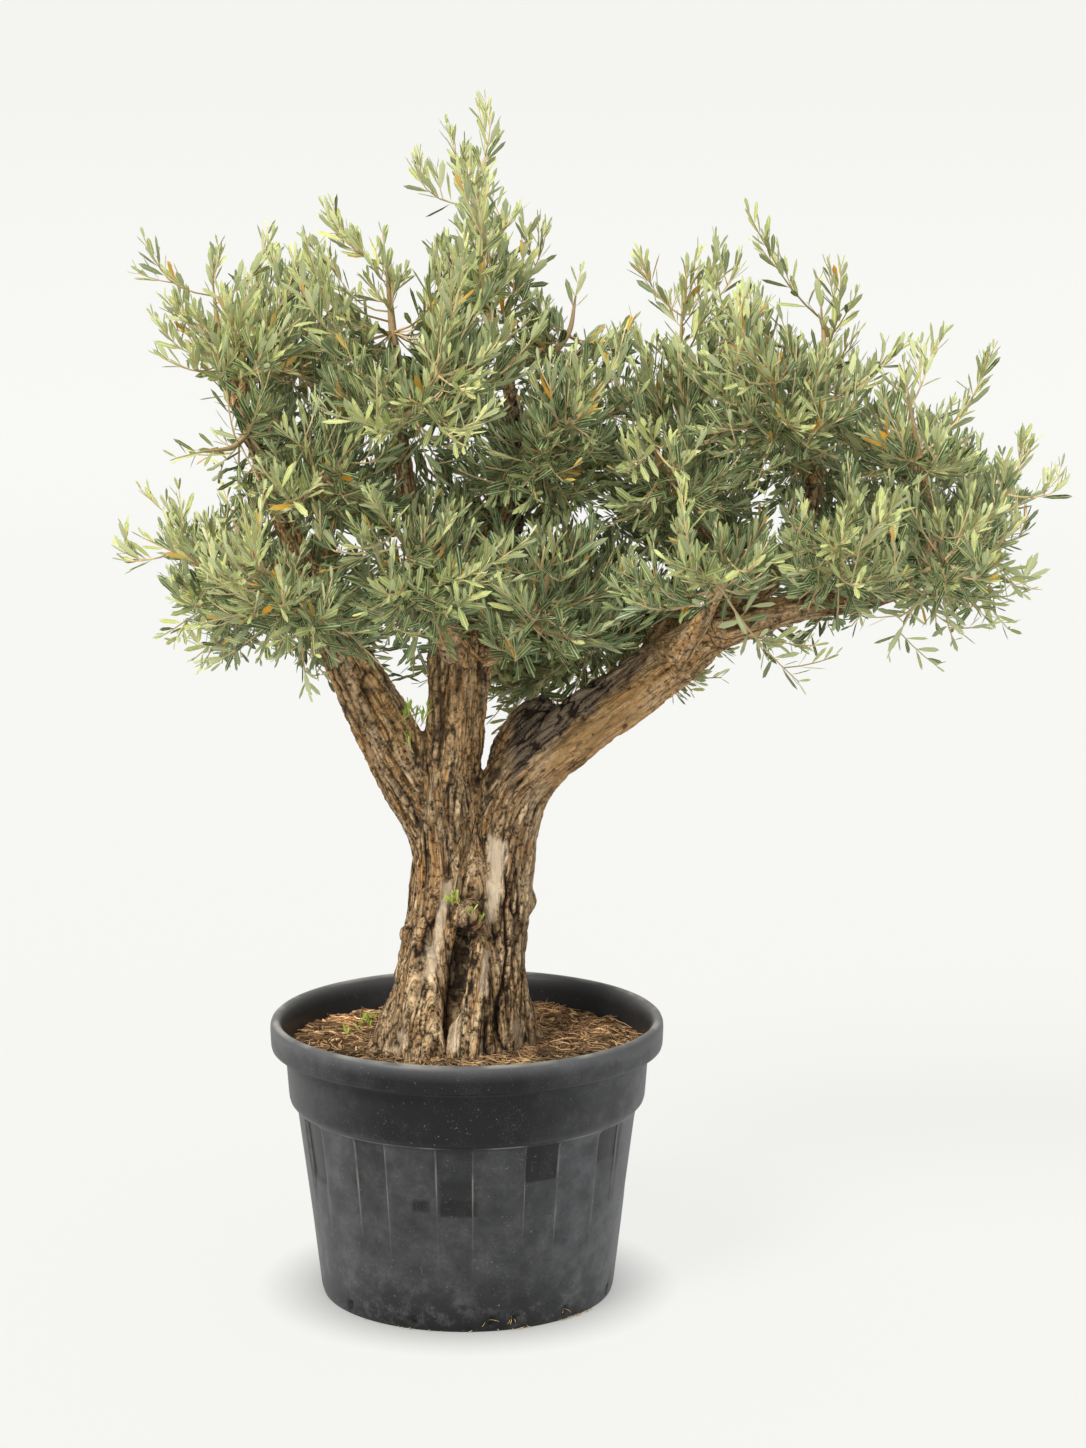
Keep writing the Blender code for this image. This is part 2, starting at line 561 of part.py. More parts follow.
def shoot_mesh(layout, kept):
    """Points and faces of a closed three-sided twig whose leaves grow out of its own facets."""
    path, radii, phases, side, cross, leaves = layout
    rings = len(phases)
    points = []
    for i in range(rings):
        for k in range(3):
            turn = phases[i] + k * 2 * math.pi / 3
            points.append(path[i] + radii[i] * (math.cos(turn) * side[i] + math.sin(turn) * cross[i]))
    points.append(path[-1])
    faces = [(2, 1, 0)]
    carried = {}
    for pair, half, root, way, face, size in leaves:
        if pair in kept:
            carried[(1 + 2 * pair, half)] = (root, way, face, size)
    for i in range(rings - 1):
        low, high = 3 * i, 3 * i + 3
        for k in range(3):
            n = (k + 1) % 3
            rise = (low + k, low + n, high + k)
            fall = (high + n, high + k, low + n)
            if k == 0 and (i, 0) in carried:
                faces += leaf(points, rise, carried[(i, 0)], 1)
            else:
                faces.append(rise)
            if k == 1 and (i, 1) in carried:
                faces += leaf(points, fall, carried[(i, 1)], -1)
            else:
                faces.append(fall)
    last, tip = 3 * rings - 3, 3 * rings
    faces += [(last + k, last + (k + 1) % 3, tip) for k in range(3)]
    return points, faces


def leaf(points, root_face, form, keel):
    """A narrow keeled blade that takes the place of one facet: two edge points at its middle and a tip."""
    a, b, c = root_face
    root, way, face, size = form
    across = np.cross(way, face) * (-keel)
    middle = root + way * size * 0.46
    across = across * math.copysign(1.0, float(np.dot(points[a] - points[b], across)))
    lower = face * (-keel) * LEAF_THICK
    start = len(points)
    points.append(middle + across * LEAF_WIDTH / 2 + lower)
    points.append(middle - across * LEAF_WIDTH / 2 + lower)
    points.append(root + way * size - face * size * 0.03)
    left, right, tip = start, start + 1, start + 2
    return [(a, b, right), (a, right, left), (left, right, tip), (b, c, right), (c, tip, right),
            (c, a, left), (c, left, tip)]


def shoot_start(stem, end):
    """Where on its stem a shoot begins, so that it leaves the stem at about the usual angle."""
    path, _ = stem
    best = None
    for share in np.linspace(0.15, 0.96, 28):
        at = share * (len(path) - 2) + 1
        i = min(int(at), len(path) - 2)
        point = path[i] + (path[i + 1] - path[i]) * (at - i)
        turn = math.degrees(math.acos(np.clip(np.dot(unit(end - point), unit(path[i + 1] - path[i])), -1, 1)))
        if best is None or abs(turn - SHOOT_ANGLE) < best[0]:
            best = (abs(turn - SHOOT_ANGLE), point, unit(path[i + 1] - path[i]))
    return best[1], best[2]


def boughs(routes, stems, rng):
    """Every leafy bough: a stem with shoots to all sides and out to the furthest tips, all in leaf pairs."""
    taken, owner = [], []
    for _, line in WOOD.values():
        line = np.array(line)
        taken.append(capsules(line[:, :3], line[:, 3] * 1.06))
        owner += [-1] * (len(line) - 1)
    for k, (path, radii) in enumerate(stems):
        if routes[k] is not None:
            taken.append(capsules(*routes[k]))
            owner += [-1] * (len(routes[k][0]) - 1)
        taken.append(capsules(path[1:], radii[1:]))
        owner += [k] * (len(path) - 2)
    starts, ends, sizes = (np.concatenate([t[i] for t in taken]) for i in range(3))
    owner = np.array(owner)
    centres = np.array([c[2] for c in CROWN])
    jobs = [(int(np.linalg.norm(centres - tip, axis=1).argmin()), np.array(tip)) for tip in TIPS]
    counts = np.bincount([k for k, _ in jobs], minlength=len(CROWN))
    for n in range(SHOOTS):
        jobs += [(k, None) for k in range(len(CROWN)) if n < max(SHOOTS - counts[k], 1)]
    grown = {k: [] for k in range(len(CROWN))}
    used = {k: [] for k in range(len(CROWN))}
    for k, tip in jobs:
        centre, half = centres[k], np.array(CROWN[k][3])
        back = unit(stems[k][0][0] - centre)
        best = None
        for _ in range(60):
            if tip is None:
                way = unit(rng.normal(size=3) + 0.2 * UP)
                if np.dot(way, back) > 0.55 or any(np.dot(way, u) > 0.35 for u in used[k]):
                    continue
                end = centre + way * half * rng.uniform(0.90, 1.12)
                most = PAIRS
            else:
                end = tip - unit(tip - centre) * TIP_LEAF
                way = unit((tip - centre) / half)
                most = TIP_PAIRS
            root, run = shoot_start(stems[k], end)
            length = np.linalg.norm(end - root)
            middle = root + (run * 0.45 + unit(end - root)) * length * 0.36 + rng.normal(size=3) * 0.05 * length
            pairs = max(min(most, int((length - 0.024) / LEAF_STEP)), 1)
            layout = shoot_layout((root, middle, end), pairs, rng)
            shape, parts = shoot_capsules(layout)
            other = owner != k
            free = clearance(shape, (starts[other], ends[other], sizes[other])).min(axis=1)
            own = clearance(shape, (starts[~other], ends[~other], sizes[~other] * 0.6)).min(axis=1)
            if free[parts == -1].min() < 0.0008:
                continue
            kept = {p for p in range(pairs) if free[parts == p].min() > 0.0008}
            crossed = (own[parts >= 0] < 0.0).sum()
            score = 2 * len(kept) - 0.7 * crossed
            if best is None or score > best[0]:
                best = (score, layout, kept, shape, parts, way)
            if len(kept) == most and crossed == 0:
                break
        if best is None or not best[2]:
            continue
        _, layout, kept, shape, parts, way = best
        stays = np.array([p == -1 or p in kept for p in parts])
        starts = np.concatenate([starts, shape[0][stays]])
        ends = np.concatenate([ends, shape[1][stays]])
        sizes = np.concatenate([sizes, shape[2][stays]])
        owner = np.concatenate([owner, np.full(stays.sum(), k)])
        grown[k].append((layout, kept))
        used[k].append(way)
    for k, (name, _, _, _) in enumerate(CROWN):
        bough = solid("bough_" + name, *tube(*stems[k], BRANCH_SIDES), FOLIAGE)
        combine(bough, [solid("shoot", *shoot_mesh(layout, kept), FOLIAGE) for layout, kept in grown[k]], "UNION")
        bough.data.materials.clear()
        bough.data.materials.append(FOLIAGE)


PLASTIC = material("moulded black plastic", (0.045, 0.047, 0.050), 0.50)
EARTH = material("brown root mulch", (0.110, 0.062, 0.032), 0.95)
BARK = material("old olive bark", (0.330, 0.235, 0.145), 0.85)
FOLIAGE = material("olive leaves", (0.205, 0.265, 0.105), 0.55)

flute_turns, flute_shares = pot()
soil(flute_turns, flute_shares)
draws = np.random.default_rng(SEED)
wood_routes, bough_stems = branch_routes(draws)
trunk(wood_routes)
boughs(wood_routes, bough_stems, draws)
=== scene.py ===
import math

import bpy
import numpy as np
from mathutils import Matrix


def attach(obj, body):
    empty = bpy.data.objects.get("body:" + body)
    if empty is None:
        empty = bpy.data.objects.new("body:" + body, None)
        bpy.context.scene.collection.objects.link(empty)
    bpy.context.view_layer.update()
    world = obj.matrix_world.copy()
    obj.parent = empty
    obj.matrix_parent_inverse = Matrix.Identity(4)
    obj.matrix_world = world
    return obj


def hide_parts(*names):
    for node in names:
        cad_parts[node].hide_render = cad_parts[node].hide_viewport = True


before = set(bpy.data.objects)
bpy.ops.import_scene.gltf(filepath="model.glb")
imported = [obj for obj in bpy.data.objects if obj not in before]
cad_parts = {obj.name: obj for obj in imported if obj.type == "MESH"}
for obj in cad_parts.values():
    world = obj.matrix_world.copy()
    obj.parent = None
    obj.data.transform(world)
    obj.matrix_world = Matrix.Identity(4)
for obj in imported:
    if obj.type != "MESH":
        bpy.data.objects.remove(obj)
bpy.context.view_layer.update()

# The camera stands as the photographer did: five metres off, as high as the crown, looking a little
# down. The lens is a portrait lens, so the pot and the crown keep their true proportions.
CAMERA_PLACE = (0.1256, -5.2, 1.8012)
CAMERA_DROP = 0.162875
CAMERA_LENS = 80.56

camera_data = bpy.data.cameras.new("camera")
camera_data.sensor_fit = "VERTICAL"
camera_data.sensor_height = 36.0
camera_data.lens = CAMERA_LENS
camera = bpy.data.objects.new("camera", camera_data)
camera.location = CAMERA_PLACE
camera.rotation_euler = (math.pi / 2 - CAMERA_DROP, 0.0, 0.0)
bpy.context.scene.collection.objects.link(camera)
bpy.context.scene.camera = camera

# Nursery pot: one piece of black polypropylene, injection moulded, with a smooth band under a rolled rim
# and shallow flutes pressed into the tapered wall. It has stood outdoors and is dusty towards its foot.
POT_PROFILE = (
    (0.2403, 0.0000), (0.2425, 0.0030), (0.2575, 0.1270), (0.2818, 0.3145), (0.2850, 0.3175),
    (0.2937, 0.3220), (0.2949, 0.3350), (0.3000, 0.4050), (0.3095, 0.4450), (0.3190, 0.4450),
    (0.3205, 0.4095), (0.3232, 0.4105), (0.3250, 0.4540), (0.3195, 0.4617), (0.3125, 0.4617),
    (0.3065, 0.4540), (0.2955, 0.4040), (0.2759, 0.3040), (0.2353, 0.0060),
)
RIM_TOP = 0.4612
BAND_FOOT = 0.3160
POT_COLUMNS = 336
FLUTE_START = -3.0
FLUTE_HALF = 6.1
FLUTE_DEPTH = 0.0058
# Pressed steps in the wall, as (angle, half width in degrees, lowest and highest height, depth)
POT_STEPS = (
    (-1.8, 6.1, 0.200, 0.224, 0.0022), (-1.8, 6.1, 0.224, 0.262, 0.0009), (-14.6, 3.0, 0.203, 0.225, 0.0020),
    (27.0, 5.6, 0.254, 0.310, 0.0022), (57.0, 6.0, 0.262, 0.310, 0.0020), (-63.0, 5.6, 0.215, 0.310, 0.0018),
    (150.0, 5.8, 0.205, 0.240, 0.0020), (-120.0, 5.8, 0.240, 0.310, 0.0020),
)
DRAINS = (-170.0, -140.0, -110.0, -80.0, -50.0, -20.0, 10.0, 18.8, 41.5, 70.0, 100.0, 130.0, 160.0)
DRAIN_HEIGHT = 0.0165
DRAIN_RADIUS = 0.0052


def put(name, points, faces, looks, smooth=True):
    """A mesh object from an (n, 3) array of points and a list of arrays of point numbers, a row each face."""
    mesh = bpy.data.meshes.new(name)
    counts = np.concatenate([np.full(len(group), group.shape[1]) for group in faces])
    corners = np.concatenate([group.ravel() for group in faces]).astype(np.int32)
    mesh.vertices.add(len(points))
    mesh.vertices.foreach_set("co", np.ascontiguousarray(points, np.float32).ravel())
    mesh.loops.add(len(corners))
    mesh.loops.foreach_set("vertex_index", corners)
    mesh.polygons.add(len(counts))
    mesh.polygons.foreach_set("loop_start", np.concatenate([[0], np.cumsum(counts)[:-1]]).astype(np.int32))
    mesh.polygons.foreach_set("use_smooth", np.full(len(counts), smooth))
    mesh.update(calc_edges=True)
    for look in looks:
        mesh.materials.append(look)
    made = bpy.data.objects.new(name, mesh)
    bpy.context.scene.collection.objects.link(made)
    return made


def note(made, name, values):
    """Keep one number a point on the mesh, under a name that a material can read."""
    values = np.ascontiguousarray(values, np.float32)
    kind = "FLOAT" if values.ndim == 1 else "FLOAT_VECTOR"
    kept = made.data.attributes.new(name, kind, "POINT")
    kept.data.foreach_set("value" if values.ndim == 1 else "vector", values.ravel())


def grid(rows, columns, start=0):
    """Quads of a grid numbered row by row, its last column joined to its first."""
    corner = start + np.arange(rows * columns).reshape(rows, columns)
    beside = np.roll(corner, -1, axis=1)
    return np.stack([corner[:-1], beside[:-1], beside[1:], corner[1:]], axis=-1).reshape(-1, 4)


def fan(ring, pole, turned=False):
    """Triangles from each edge of a closed ring of point numbers to one pole."""
    beside = np.roll(ring, -1)
    order = [beside, ring, np.full(len(ring), pole)] if turned else [ring, beside, np.full(len(ring), pole)]
    return np.stack(order, axis=-1)


def ease(low, high, values):
    """Smooth rise from 0 below low to 1 above high: three times the square less twice the cube."""
    share = np.clip((values - low) / (high - low), 0, 1)
    return share * share * (3 - 2 * share)


def along(line, step):
    """A polyline's columns read at even steps of its length, its first two columns being the place."""
    line = np.array(line, float)
    walked = np.concatenate([[0], np.cumsum(np.linalg.norm(np.diff(line[:, :2], axis=0), axis=1))])
    at = np.linspace(0, walked[-1], int(walked[-1] / step) + 1)
    return np.stack([np.interp(at, walked, column) for column in line.T], axis=1)


LATTICE = np.random.default_rng(5).normal(size=(4096, 3))
LATTICE /= np.linalg.norm(LATTICE, axis=1)[:, None]


def noise(points, seed=0):
    """Gradient noise, about -1 to 1. Eight hashed slopes at the corners of a unit cell, blended with a quintic."""
    points = np.asarray(points, float)
    cell = np.floor(points).astype(np.int64)
    inside = points - cell
    blend = inside ** 3 * (inside * (inside * 6 - 15) + 10)
    total = np.zeros(len(points))
    for corner in np.ndindex(2, 2, 2):
        spot = cell + corner
        mix = (spot[:, 0] * 73856093) ^ (spot[:, 1] * 19349663) ^ (spot[:, 2] * 83492791) ^ (seed * 2654435761)
        mix = (mix ^ (mix >> 13)) * 1274126177
        slope = LATTICE[(mix ^ (mix >> 16)) & 4095]
        weight = np.prod(np.where(corner, blend, 1 - blend), axis=1)
        total += weight * np.einsum("ij,ij->i", slope, inside - corner)
    return total * 1.6


def linear(code):
    """A hex colour turned to linear light by the sRGB curve."""
    values = np.array([int(code[i:i + 2], 16) for i in (1, 3, 5)]) / 255
    values = np.where(values <= 0.04045, values / 12.92, ((values + 0.055) / 1.055) ** 2.4)
    return (*map(float, values), 1.0)


def finish(name, roughness, ior=1.5, metallic=0.0):
    """A new material with its uniform values on the Principled shader, and that shader."""
    made = bpy.data.materials.new(name)
    made.use_nodes = True
    shader = made.node_tree.nodes["Principled BSDF"]
    shader.inputs["Roughness"].default_value = roughness
    shader.inputs["IOR"].default_value = ior
    shader.inputs["Metallic"].default_value = metallic
    return made, shader


def add(look, kind, inputs=None, **settings):
    """One shader node: its settings by name, and its inputs each given a value or another node's socket."""
    made = look.node_tree.nodes.new(kind)
    for key, value in settings.items():
        setattr(made, key, value)
    for key, value in (inputs or {}).items():
        if isinstance(value, bpy.types.NodeSocket):
            look.node_tree.links.new(value, made.inputs[key])
        else:
            made.inputs[key].default_value = value
    return made


# The wall is the profile turned round. Under the band it sinks by the flute's depth inside each flute,
# fading out a third of the way up, and by each pressed step's own depth.
pot_line = along(POT_PROFILE, 0.0068)
for _ in range(2):
    pot_line[1:-1] = pot_line[:-2] * 0.2 + pot_line[1:-1] * 0.6 + pot_line[2:] * 0.2
outer_rows = int(pot_line[:, 0].argmax())
turn = np.arange(POT_COLUMNS) * 2 * math.pi / POT_COLUMNS
height, turned = np.meshgrid(pot_line[:, 1], turn, indexing="ij")
reach = np.repeat(pot_line[:, :1], POT_COLUMNS, axis=1)
from_flute = np.abs((np.degrees(turned) - FLUTE_START + 15) % 30 - 15)
press = FLUTE_DEPTH * (1 - ease(FLUTE_HALF - 0.7, FLUTE_HALF + 0.7, from_flute))
press *= ease(0.115, 0.300, height) * (1 - ease(0.3085, 0.3150, height))
stepped_in = np.zeros_like(height)
for middle, half, low, high, depth in POT_STEPS:
    beside = np.abs((np.degrees(turned) - middle + 180) % 360 - 180)
    inside_step = 1 - ease(half - 0.5, half + 0.5, beside)
    inside_step = inside_step * ease(low - 0.002, low + 0.002, height) * (1 - ease(high - 0.002, high + 0.002, height))
    press += depth * inside_step
    stepped_in = np.maximum(stepped_in, inside_step * min(depth / 0.0020, 1.0))
moulded = np.arange(len(pot_line))[:, None] < outer_rows
warp = 0.0007 * np.sin(2 * turned + 0.7) + 0.0005 * np.sin(3 * turned + 2.0)
reach = reach - press * moulded + warp * ease(0.02, 0.2, height)
for middle in DRAINS:
    beside = (turned - math.radians(middle) + math.pi) % (2 * math.pi) - math.pi
    apart = np.hypot(beside * 0.2425 * (1.0 + 0.1 * math.sin(middle)), height - DRAIN_HEIGHT)
    reach = reach - 0.012 * (1 - ease(DRAIN_RADIUS * 0.75, DRAIN_RADIUS * 1.25, apart)) * moulded
pot_points = np.stack([reach * np.sin(turned), -reach * np.cos(turned), height], axis=-1).reshape(-1, 3)
pot_points = np.concatenate([pot_points, [[0, 0, 0], [0, 0, pot_line[-1, 1]]]])
last_ring = np.arange(POT_COLUMNS) + (len(pot_line) - 1) * POT_COLUMNS
pot_faces = [
    grid(len(pot_line), POT_COLUMNS),
    np.concatenate([
        fan(np.arange(POT_COLUMNS), len(pot_points) - 2, True), fan(last_ring, len(pot_points) - 1),
    ]),
]

# Injection-moulded polypropylene: a soft satin black. The tapered wall is scuffed grey all over, worst near the
# foot, the band stays darker, and the edges of the flutes and of the band are worn to pale lines. Painted light
# is mixed in too: a painted sheen on the left and right sides, painted highlights on the rim, and painted shade
# in the flutes and pressed steps.
plastic, shader = finish("moulded black polypropylene", 0.46, 1.49)
shader.inputs["Specular IOR Level"].default_value = 0.27
place = add(plastic, "ShaderNodeTexCoord").outputs["Object"]
split = add(plastic, "ShaderNodeSeparateXYZ", {0: place})
height_out = split.outputs["Z"]
from_middle = add(plastic, "ShaderNodeAttribute", attribute_name="flute").outputs["Fac"]
stepped = add(plastic, "ShaderNodeAttribute", attribute_name="pressed").outputs["Fac"]
clouds = add(plastic, "ShaderNodeTexNoise", {"Vector": place, "Scale": 26.0, "Detail": 7.0, "Roughness": 0.68})
specks = add(plastic, "ShaderNodeTexNoise", {"Vector": place, "Scale": 210.0, "Detail": 3.0, "Roughness": 0.7})
wander = add(plastic, "ShaderNodeTexNoise", {"Vector": place, "Scale": 14.0, "Detail": 2.0})
bent = add(plastic, "ShaderNodeVectorMath", {0: place, 1: wander.outputs["Color"]}, operation="ADD")
scratch = add(plastic, "ShaderNodeTexVoronoi", {"Vector": bent.outputs[0], "Scale": 30.0}, feature="DISTANCE_TO_EDGE")
thin_line = add(plastic, "ShaderNodeMapRange", {
    "Value": scratch.outputs["Distance"], "From Min": 0.0, "From Max": 0.010, "To Min": 0.5, "To Max": 0.0,
})
under_band = add(plastic, "ShaderNodeMapRange", {
    "Value": height_out, "From Min": 0.310, "From Max": 0.317, "To Min": 0.40, "To Max": 0.02,
})
foot_scuff = add(plastic, "ShaderNodeMapRange", {
    "Value": height_out, "From Min": 0.10, "From Max": 0.04, "To Min": 0.0, "To Max": 0.30,
})
cloud_share = add(plastic, "ShaderNodeMapRange", {
    "Value": clouds.outputs["Fac"], "From Min": 0.34, "From Max": 0.68, "To Min": 0.55, "To Max": 1.45,
})
patchy = add(plastic, "ShaderNodeMapRange", {
    "Value": clouds.outputs["Fac"], "From Min": 0.50, "From Max": 0.62, "To Min": 0.0, "To Max": 1.0,
})
dust_even = add(plastic, "ShaderNodeMath", {0: under_band.outputs[0], 1: cloud_share.outputs[0]}, operation="MULTIPLY")
dust_foot = add(plastic, "ShaderNodeMath", {0: foot_scuff.outputs[0], 1: patchy.outputs[0]}, operation="MULTIPLY")
damp_foot = add(plastic, "ShaderNodeMapRange", {
    "Value": height_out, "From Min": 0.015, "From Max": 0.10, "To Min": 0.25, "To Max": 1.0,
})
dust_dried = add(plastic, "ShaderNodeMath", {0: dust_even.outputs[0], 1: damp_foot.outputs[0]}, operation="MULTIPLY")
dust_low = add(plastic, "ShaderNodeMath", {0: dust_dried.outputs[0], 1: dust_foot.outputs[0]}, operation="ADD")
# Painted sheen: the wall's left and right sides are lightened in clouds, as if by the grazing reflection of the bright
# surround.
sheen_right = add(plastic, "ShaderNodeMapRange", {
    "Value": split.outputs["X"], "From Min": 0.09, "From Max": 0.30, "To Min": 0.0, "To Max": 0.78,
})
sheen_left = add(plastic, "ShaderNodeMapRange", {
    "Value": split.outputs["X"], "From Min": -0.12, "From Max": -0.31, "To Min": 0.0, "To Max": 0.48,
})
sheen_sides = add(plastic, "ShaderNodeMath", {0: sheen_right.outputs[0], 1: sheen_left.outputs[0]}, operation="ADD")
sheen_clouded = add(plastic, "ShaderNodeMath", {0: sheen_sides.outputs[0], 1: cloud_share.outputs[0]}, operation="MULTIPLY")
# Painted highlight: the outer face of the rim grows paler toward its rounded top, where it would catch the light.
lip_highlight = add(plastic, "ShaderNodeMapRange", {
    "Value": height_out, "From Min": RIM_TOP - 0.030, "From Max": RIM_TOP - 0.002, "To Min": 0.0, "To Max": 1.0,
})
lip_highlight_bow = add(plastic, "ShaderNodeMath", {0: lip_highlight.outputs[0], 1: 1.5}, operation="POWER")
from_axis = add(plastic, "ShaderNodeVectorMath", {0: place, 1: (1.0, 1.0, 0.0)}, operation="MULTIPLY")
radius_out = add(plastic, "ShaderNodeVectorMath", {0: from_axis.outputs[0]}, operation="LENGTH")
dust_inside = add(plastic, "ShaderNodeMapRange", {
    "Value": radius_out.outputs["Value"], "From Min": 0.3095, "From Max": 0.3065, "To Min": 0.0, "To Max": 1.0,
})
inside_high = add(plastic, "ShaderNodeMath", {0: height_out, 1: 0.405}, operation="GREATER_THAN")
dust_within = add(plastic, "ShaderNodeMath", {
    0: dust_inside.outputs[0], 1: inside_high.outputs[0],
}, operation="MULTIPLY")
outward = add(plastic, "ShaderNodeMath", {0: 1.0, 1: dust_within.outputs[0]}, operation="SUBTRACT")
# The painted sheen stays off the inside of the rim.
sheen_outside = add(plastic, "ShaderNodeMath", {0: sheen_clouded.outputs[0], 1: outward.outputs[0]}, operation="MULTIPLY")
sheen_and_lip_highlight = add(plastic, "ShaderNodeMath", {0: sheen_outside.outputs[0], 1: lip_highlight_bow.outputs[0]}, operation="ADD")
inner_dust_sheen_highlight = add(plastic, "ShaderNodeMath", {
    0: dust_within.outputs[0], 1: 0.17, 2: sheen_and_lip_highlight.outputs[0],
}, operation="MULTIPLY_ADD")
dust_and_painted_light = add(plastic, "ShaderNodeMath", {0: dust_low.outputs[0], 1: inner_dust_sheen_highlight.outputs[0]}, operation="ADD")
# Painted shade: in the flutes below the band and in the pressed steps less grey is mixed in, so these recesses stay
# darker.
in_flute = add(plastic, "ShaderNodeMapRange", {
    "Value": from_middle, "From Min": FLUTE_HALF - 0.5, "From Max": FLUTE_HALF + 0.1, "To Min": 0.45, "To Max": 0.0,
})
flute_tall = add(plastic, "ShaderNodeMapRange", {
    "Value": height_out, "From Min": 0.15, "From Max": 0.27, "To Min": 0.0, "To Max": 1.0,
})
edge_stop = add(plastic, "ShaderNodeMapRange", {
    "Value": height_out, "From Min": 0.310, "From Max": 0.314, "To Min": 1.0, "To Max": 0.0,
})
shaded_flute = add(plastic, "ShaderNodeMath", {0: in_flute.outputs[0], 1: flute_tall.outputs[0]}, operation="MULTIPLY")
flute_shade_under_band = add(plastic, "ShaderNodeMath", {0: shaded_flute.outputs[0], 1: edge_stop.outputs[0]}, operation="MULTIPLY")
recess_shade_share = add(plastic, "ShaderNodeMath", {0: flute_shade_under_band.outputs[0], 1: stepped}, operation="ADD")
recess_painted_shade = add(plastic, "ShaderNodeMapRange", {
    "Value": recess_shade_share.outputs[0], "From Min": 0.0, "From Max": 1.0, "To Min": 1.0, "To Max": 0.15,
})
# The grey share: real dust and scuffs, plus the painted sheen and rim highlight, less where painted shade lies in the
# recesses.
dust_with_painted_light = add(plastic, "ShaderNodeMath", {
    0: dust_and_painted_light.outputs[0], 1: recess_painted_shade.outputs[0],
}, operation="MULTIPLY", use_clamp=True)
edge_off = add(plastic, "ShaderNodeMath", {0: from_middle, 1: FLUTE_HALF}, operation="SUBTRACT")
edge_apart = add(plastic, "ShaderNodeMath", {0: edge_off.outputs[0]}, operation="ABSOLUTE")
edge_line = add(plastic, "ShaderNodeMapRange", {
    "Value": edge_apart.outputs[0], "From Min": 0.08, "From Max": 0.34, "To Min": 0.40, "To Max": 0.0,
})
edge_fade = add(plastic, "ShaderNodeMapRange", {
    "Value": height_out, "From Min": 0.10, "From Max": 0.24, "To Min": 0.0, "To Max": 1.0,
})
edge_worn = add(plastic, "ShaderNodeMath", {0: edge_line.outputs[0], 1: edge_fade.outputs[0]}, operation="MULTIPLY")
edge_under = add(plastic, "ShaderNodeMath", {0: edge_worn.outputs[0], 1: edge_stop.outputs[0]}, operation="MULTIPLY")
rim_off = add(plastic, "ShaderNodeMath", {0: height_out, 1: BAND_FOOT}, operation="SUBTRACT")
rim_apart = add(plastic, "ShaderNodeMath", {0: rim_off.outputs[0]}, operation="ABSOLUTE")
band_line = add(plastic, "ShaderNodeMapRange", {
    "Value": rim_apart.outputs[0], "From Min": 0.0006, "From Max": 0.0022, "To Min": 0.42, "To Max": 0.0,
})
worn_lines = add(plastic, "ShaderNodeMath", {0: edge_under.outputs[0], 1: band_line.outputs[0]}, operation="MAXIMUM")
# Painted highlight: a pale band along the top edge of the rim, broken up with the worn lines and scratches.
rim_highlight = add(plastic, "ShaderNodeMapRange", {
    "Value": height_out, "From Min": RIM_TOP - 0.0060, "From Max": RIM_TOP - 0.0008, "To Min": 0.0, "To Max": 1.0,
})
worn_edges_and_rim_highlight = add(plastic, "ShaderNodeMath", {0: worn_lines.outputs[0], 1: rim_highlight.outputs[0]}, operation="MAXIMUM")
rubs = add(plastic, "ShaderNodeMapRange", {
    "Value": wander.outputs["Fac"], "From Min": 0.40, "From Max": 0.60, "To Min": 0.15, "To Max": 1.0,
})
rubbed_wear_and_highlight = add(plastic, "ShaderNodeMath", {0: worn_edges_and_rim_highlight.outputs[0], 1: rubs.outputs[0]}, operation="MULTIPLY")
scratches = add(plastic, "ShaderNodeMath", {0: thin_line.outputs[0], 1: patchy.outputs[0]}, operation="MULTIPLY")
pale_wear_and_highlight = add(plastic, "ShaderNodeMath", {0: rubbed_wear_and_highlight.outputs[0], 1: scratches.outputs[0]}, operation="MAXIMUM")
# Black plastic mixed toward dusty grey by that share, which carries painted light as well as dust.
plastic_dust_and_light = add(plastic, "ShaderNodeMix", {
    "Factor": dust_with_painted_light.outputs[0], 6: linear("#0d0e10"), 7: linear("#515255"),
}, data_type="RGBA")
worn_and_highlit = add(plastic, "ShaderNodeMix", {
    "Factor": pale_wear_and_highlight.outputs[0], 6: plastic_dust_and_light.outputs[2], 7: linear("#96968f"),
}, data_type="RGBA")
speck_share = add(plastic, "ShaderNodeMapRange", {
    "Value": specks.outputs["Fac"], "From Min": 0.66, "From Max": 0.72, "To Min": 0.0, "To Max": 0.5,
})
speckled = add(plastic, "ShaderNodeMix", {
    "Factor": speck_share.outputs[0], 6: worn_and_highlit.outputs[2], 7: linear("#8f8a7c"),
}, data_type="RGBA")
plastic.node_tree.links.new(speckled.outputs[2], shader.inputs["Base Color"])
plastic_rough = add(plastic, "ShaderNodeMapRange", {
    "Value": dust_with_painted_light.outputs[0], "From Min": 0.0, "From Max": 0.5, "To Min": 0.29, "To Max": 0.44,
})
plastic.node_tree.links.new(plastic_rough.outputs[0], shader.inputs["Roughness"])
plastic_bump = add(plastic, "ShaderNodeBump", {"Height": specks.outputs["Fac"], "Strength": 0.12, "Distance": 0.0006})
plastic.node_tree.links.new(plastic_bump.outputs["Normal"], shader.inputs["Normal"])

pot = put("moulded_pot", pot_points, pot_faces, [plastic])
note(pot, "flute", np.concatenate([(from_flute * np.ones_like(reach)).ravel(), [0, 0]]))
note(pot, "pressed", np.concatenate([np.clip(stepped_in, 0, 1).ravel(), [0, 0]]))
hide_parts("pot")
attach(pot, "root")

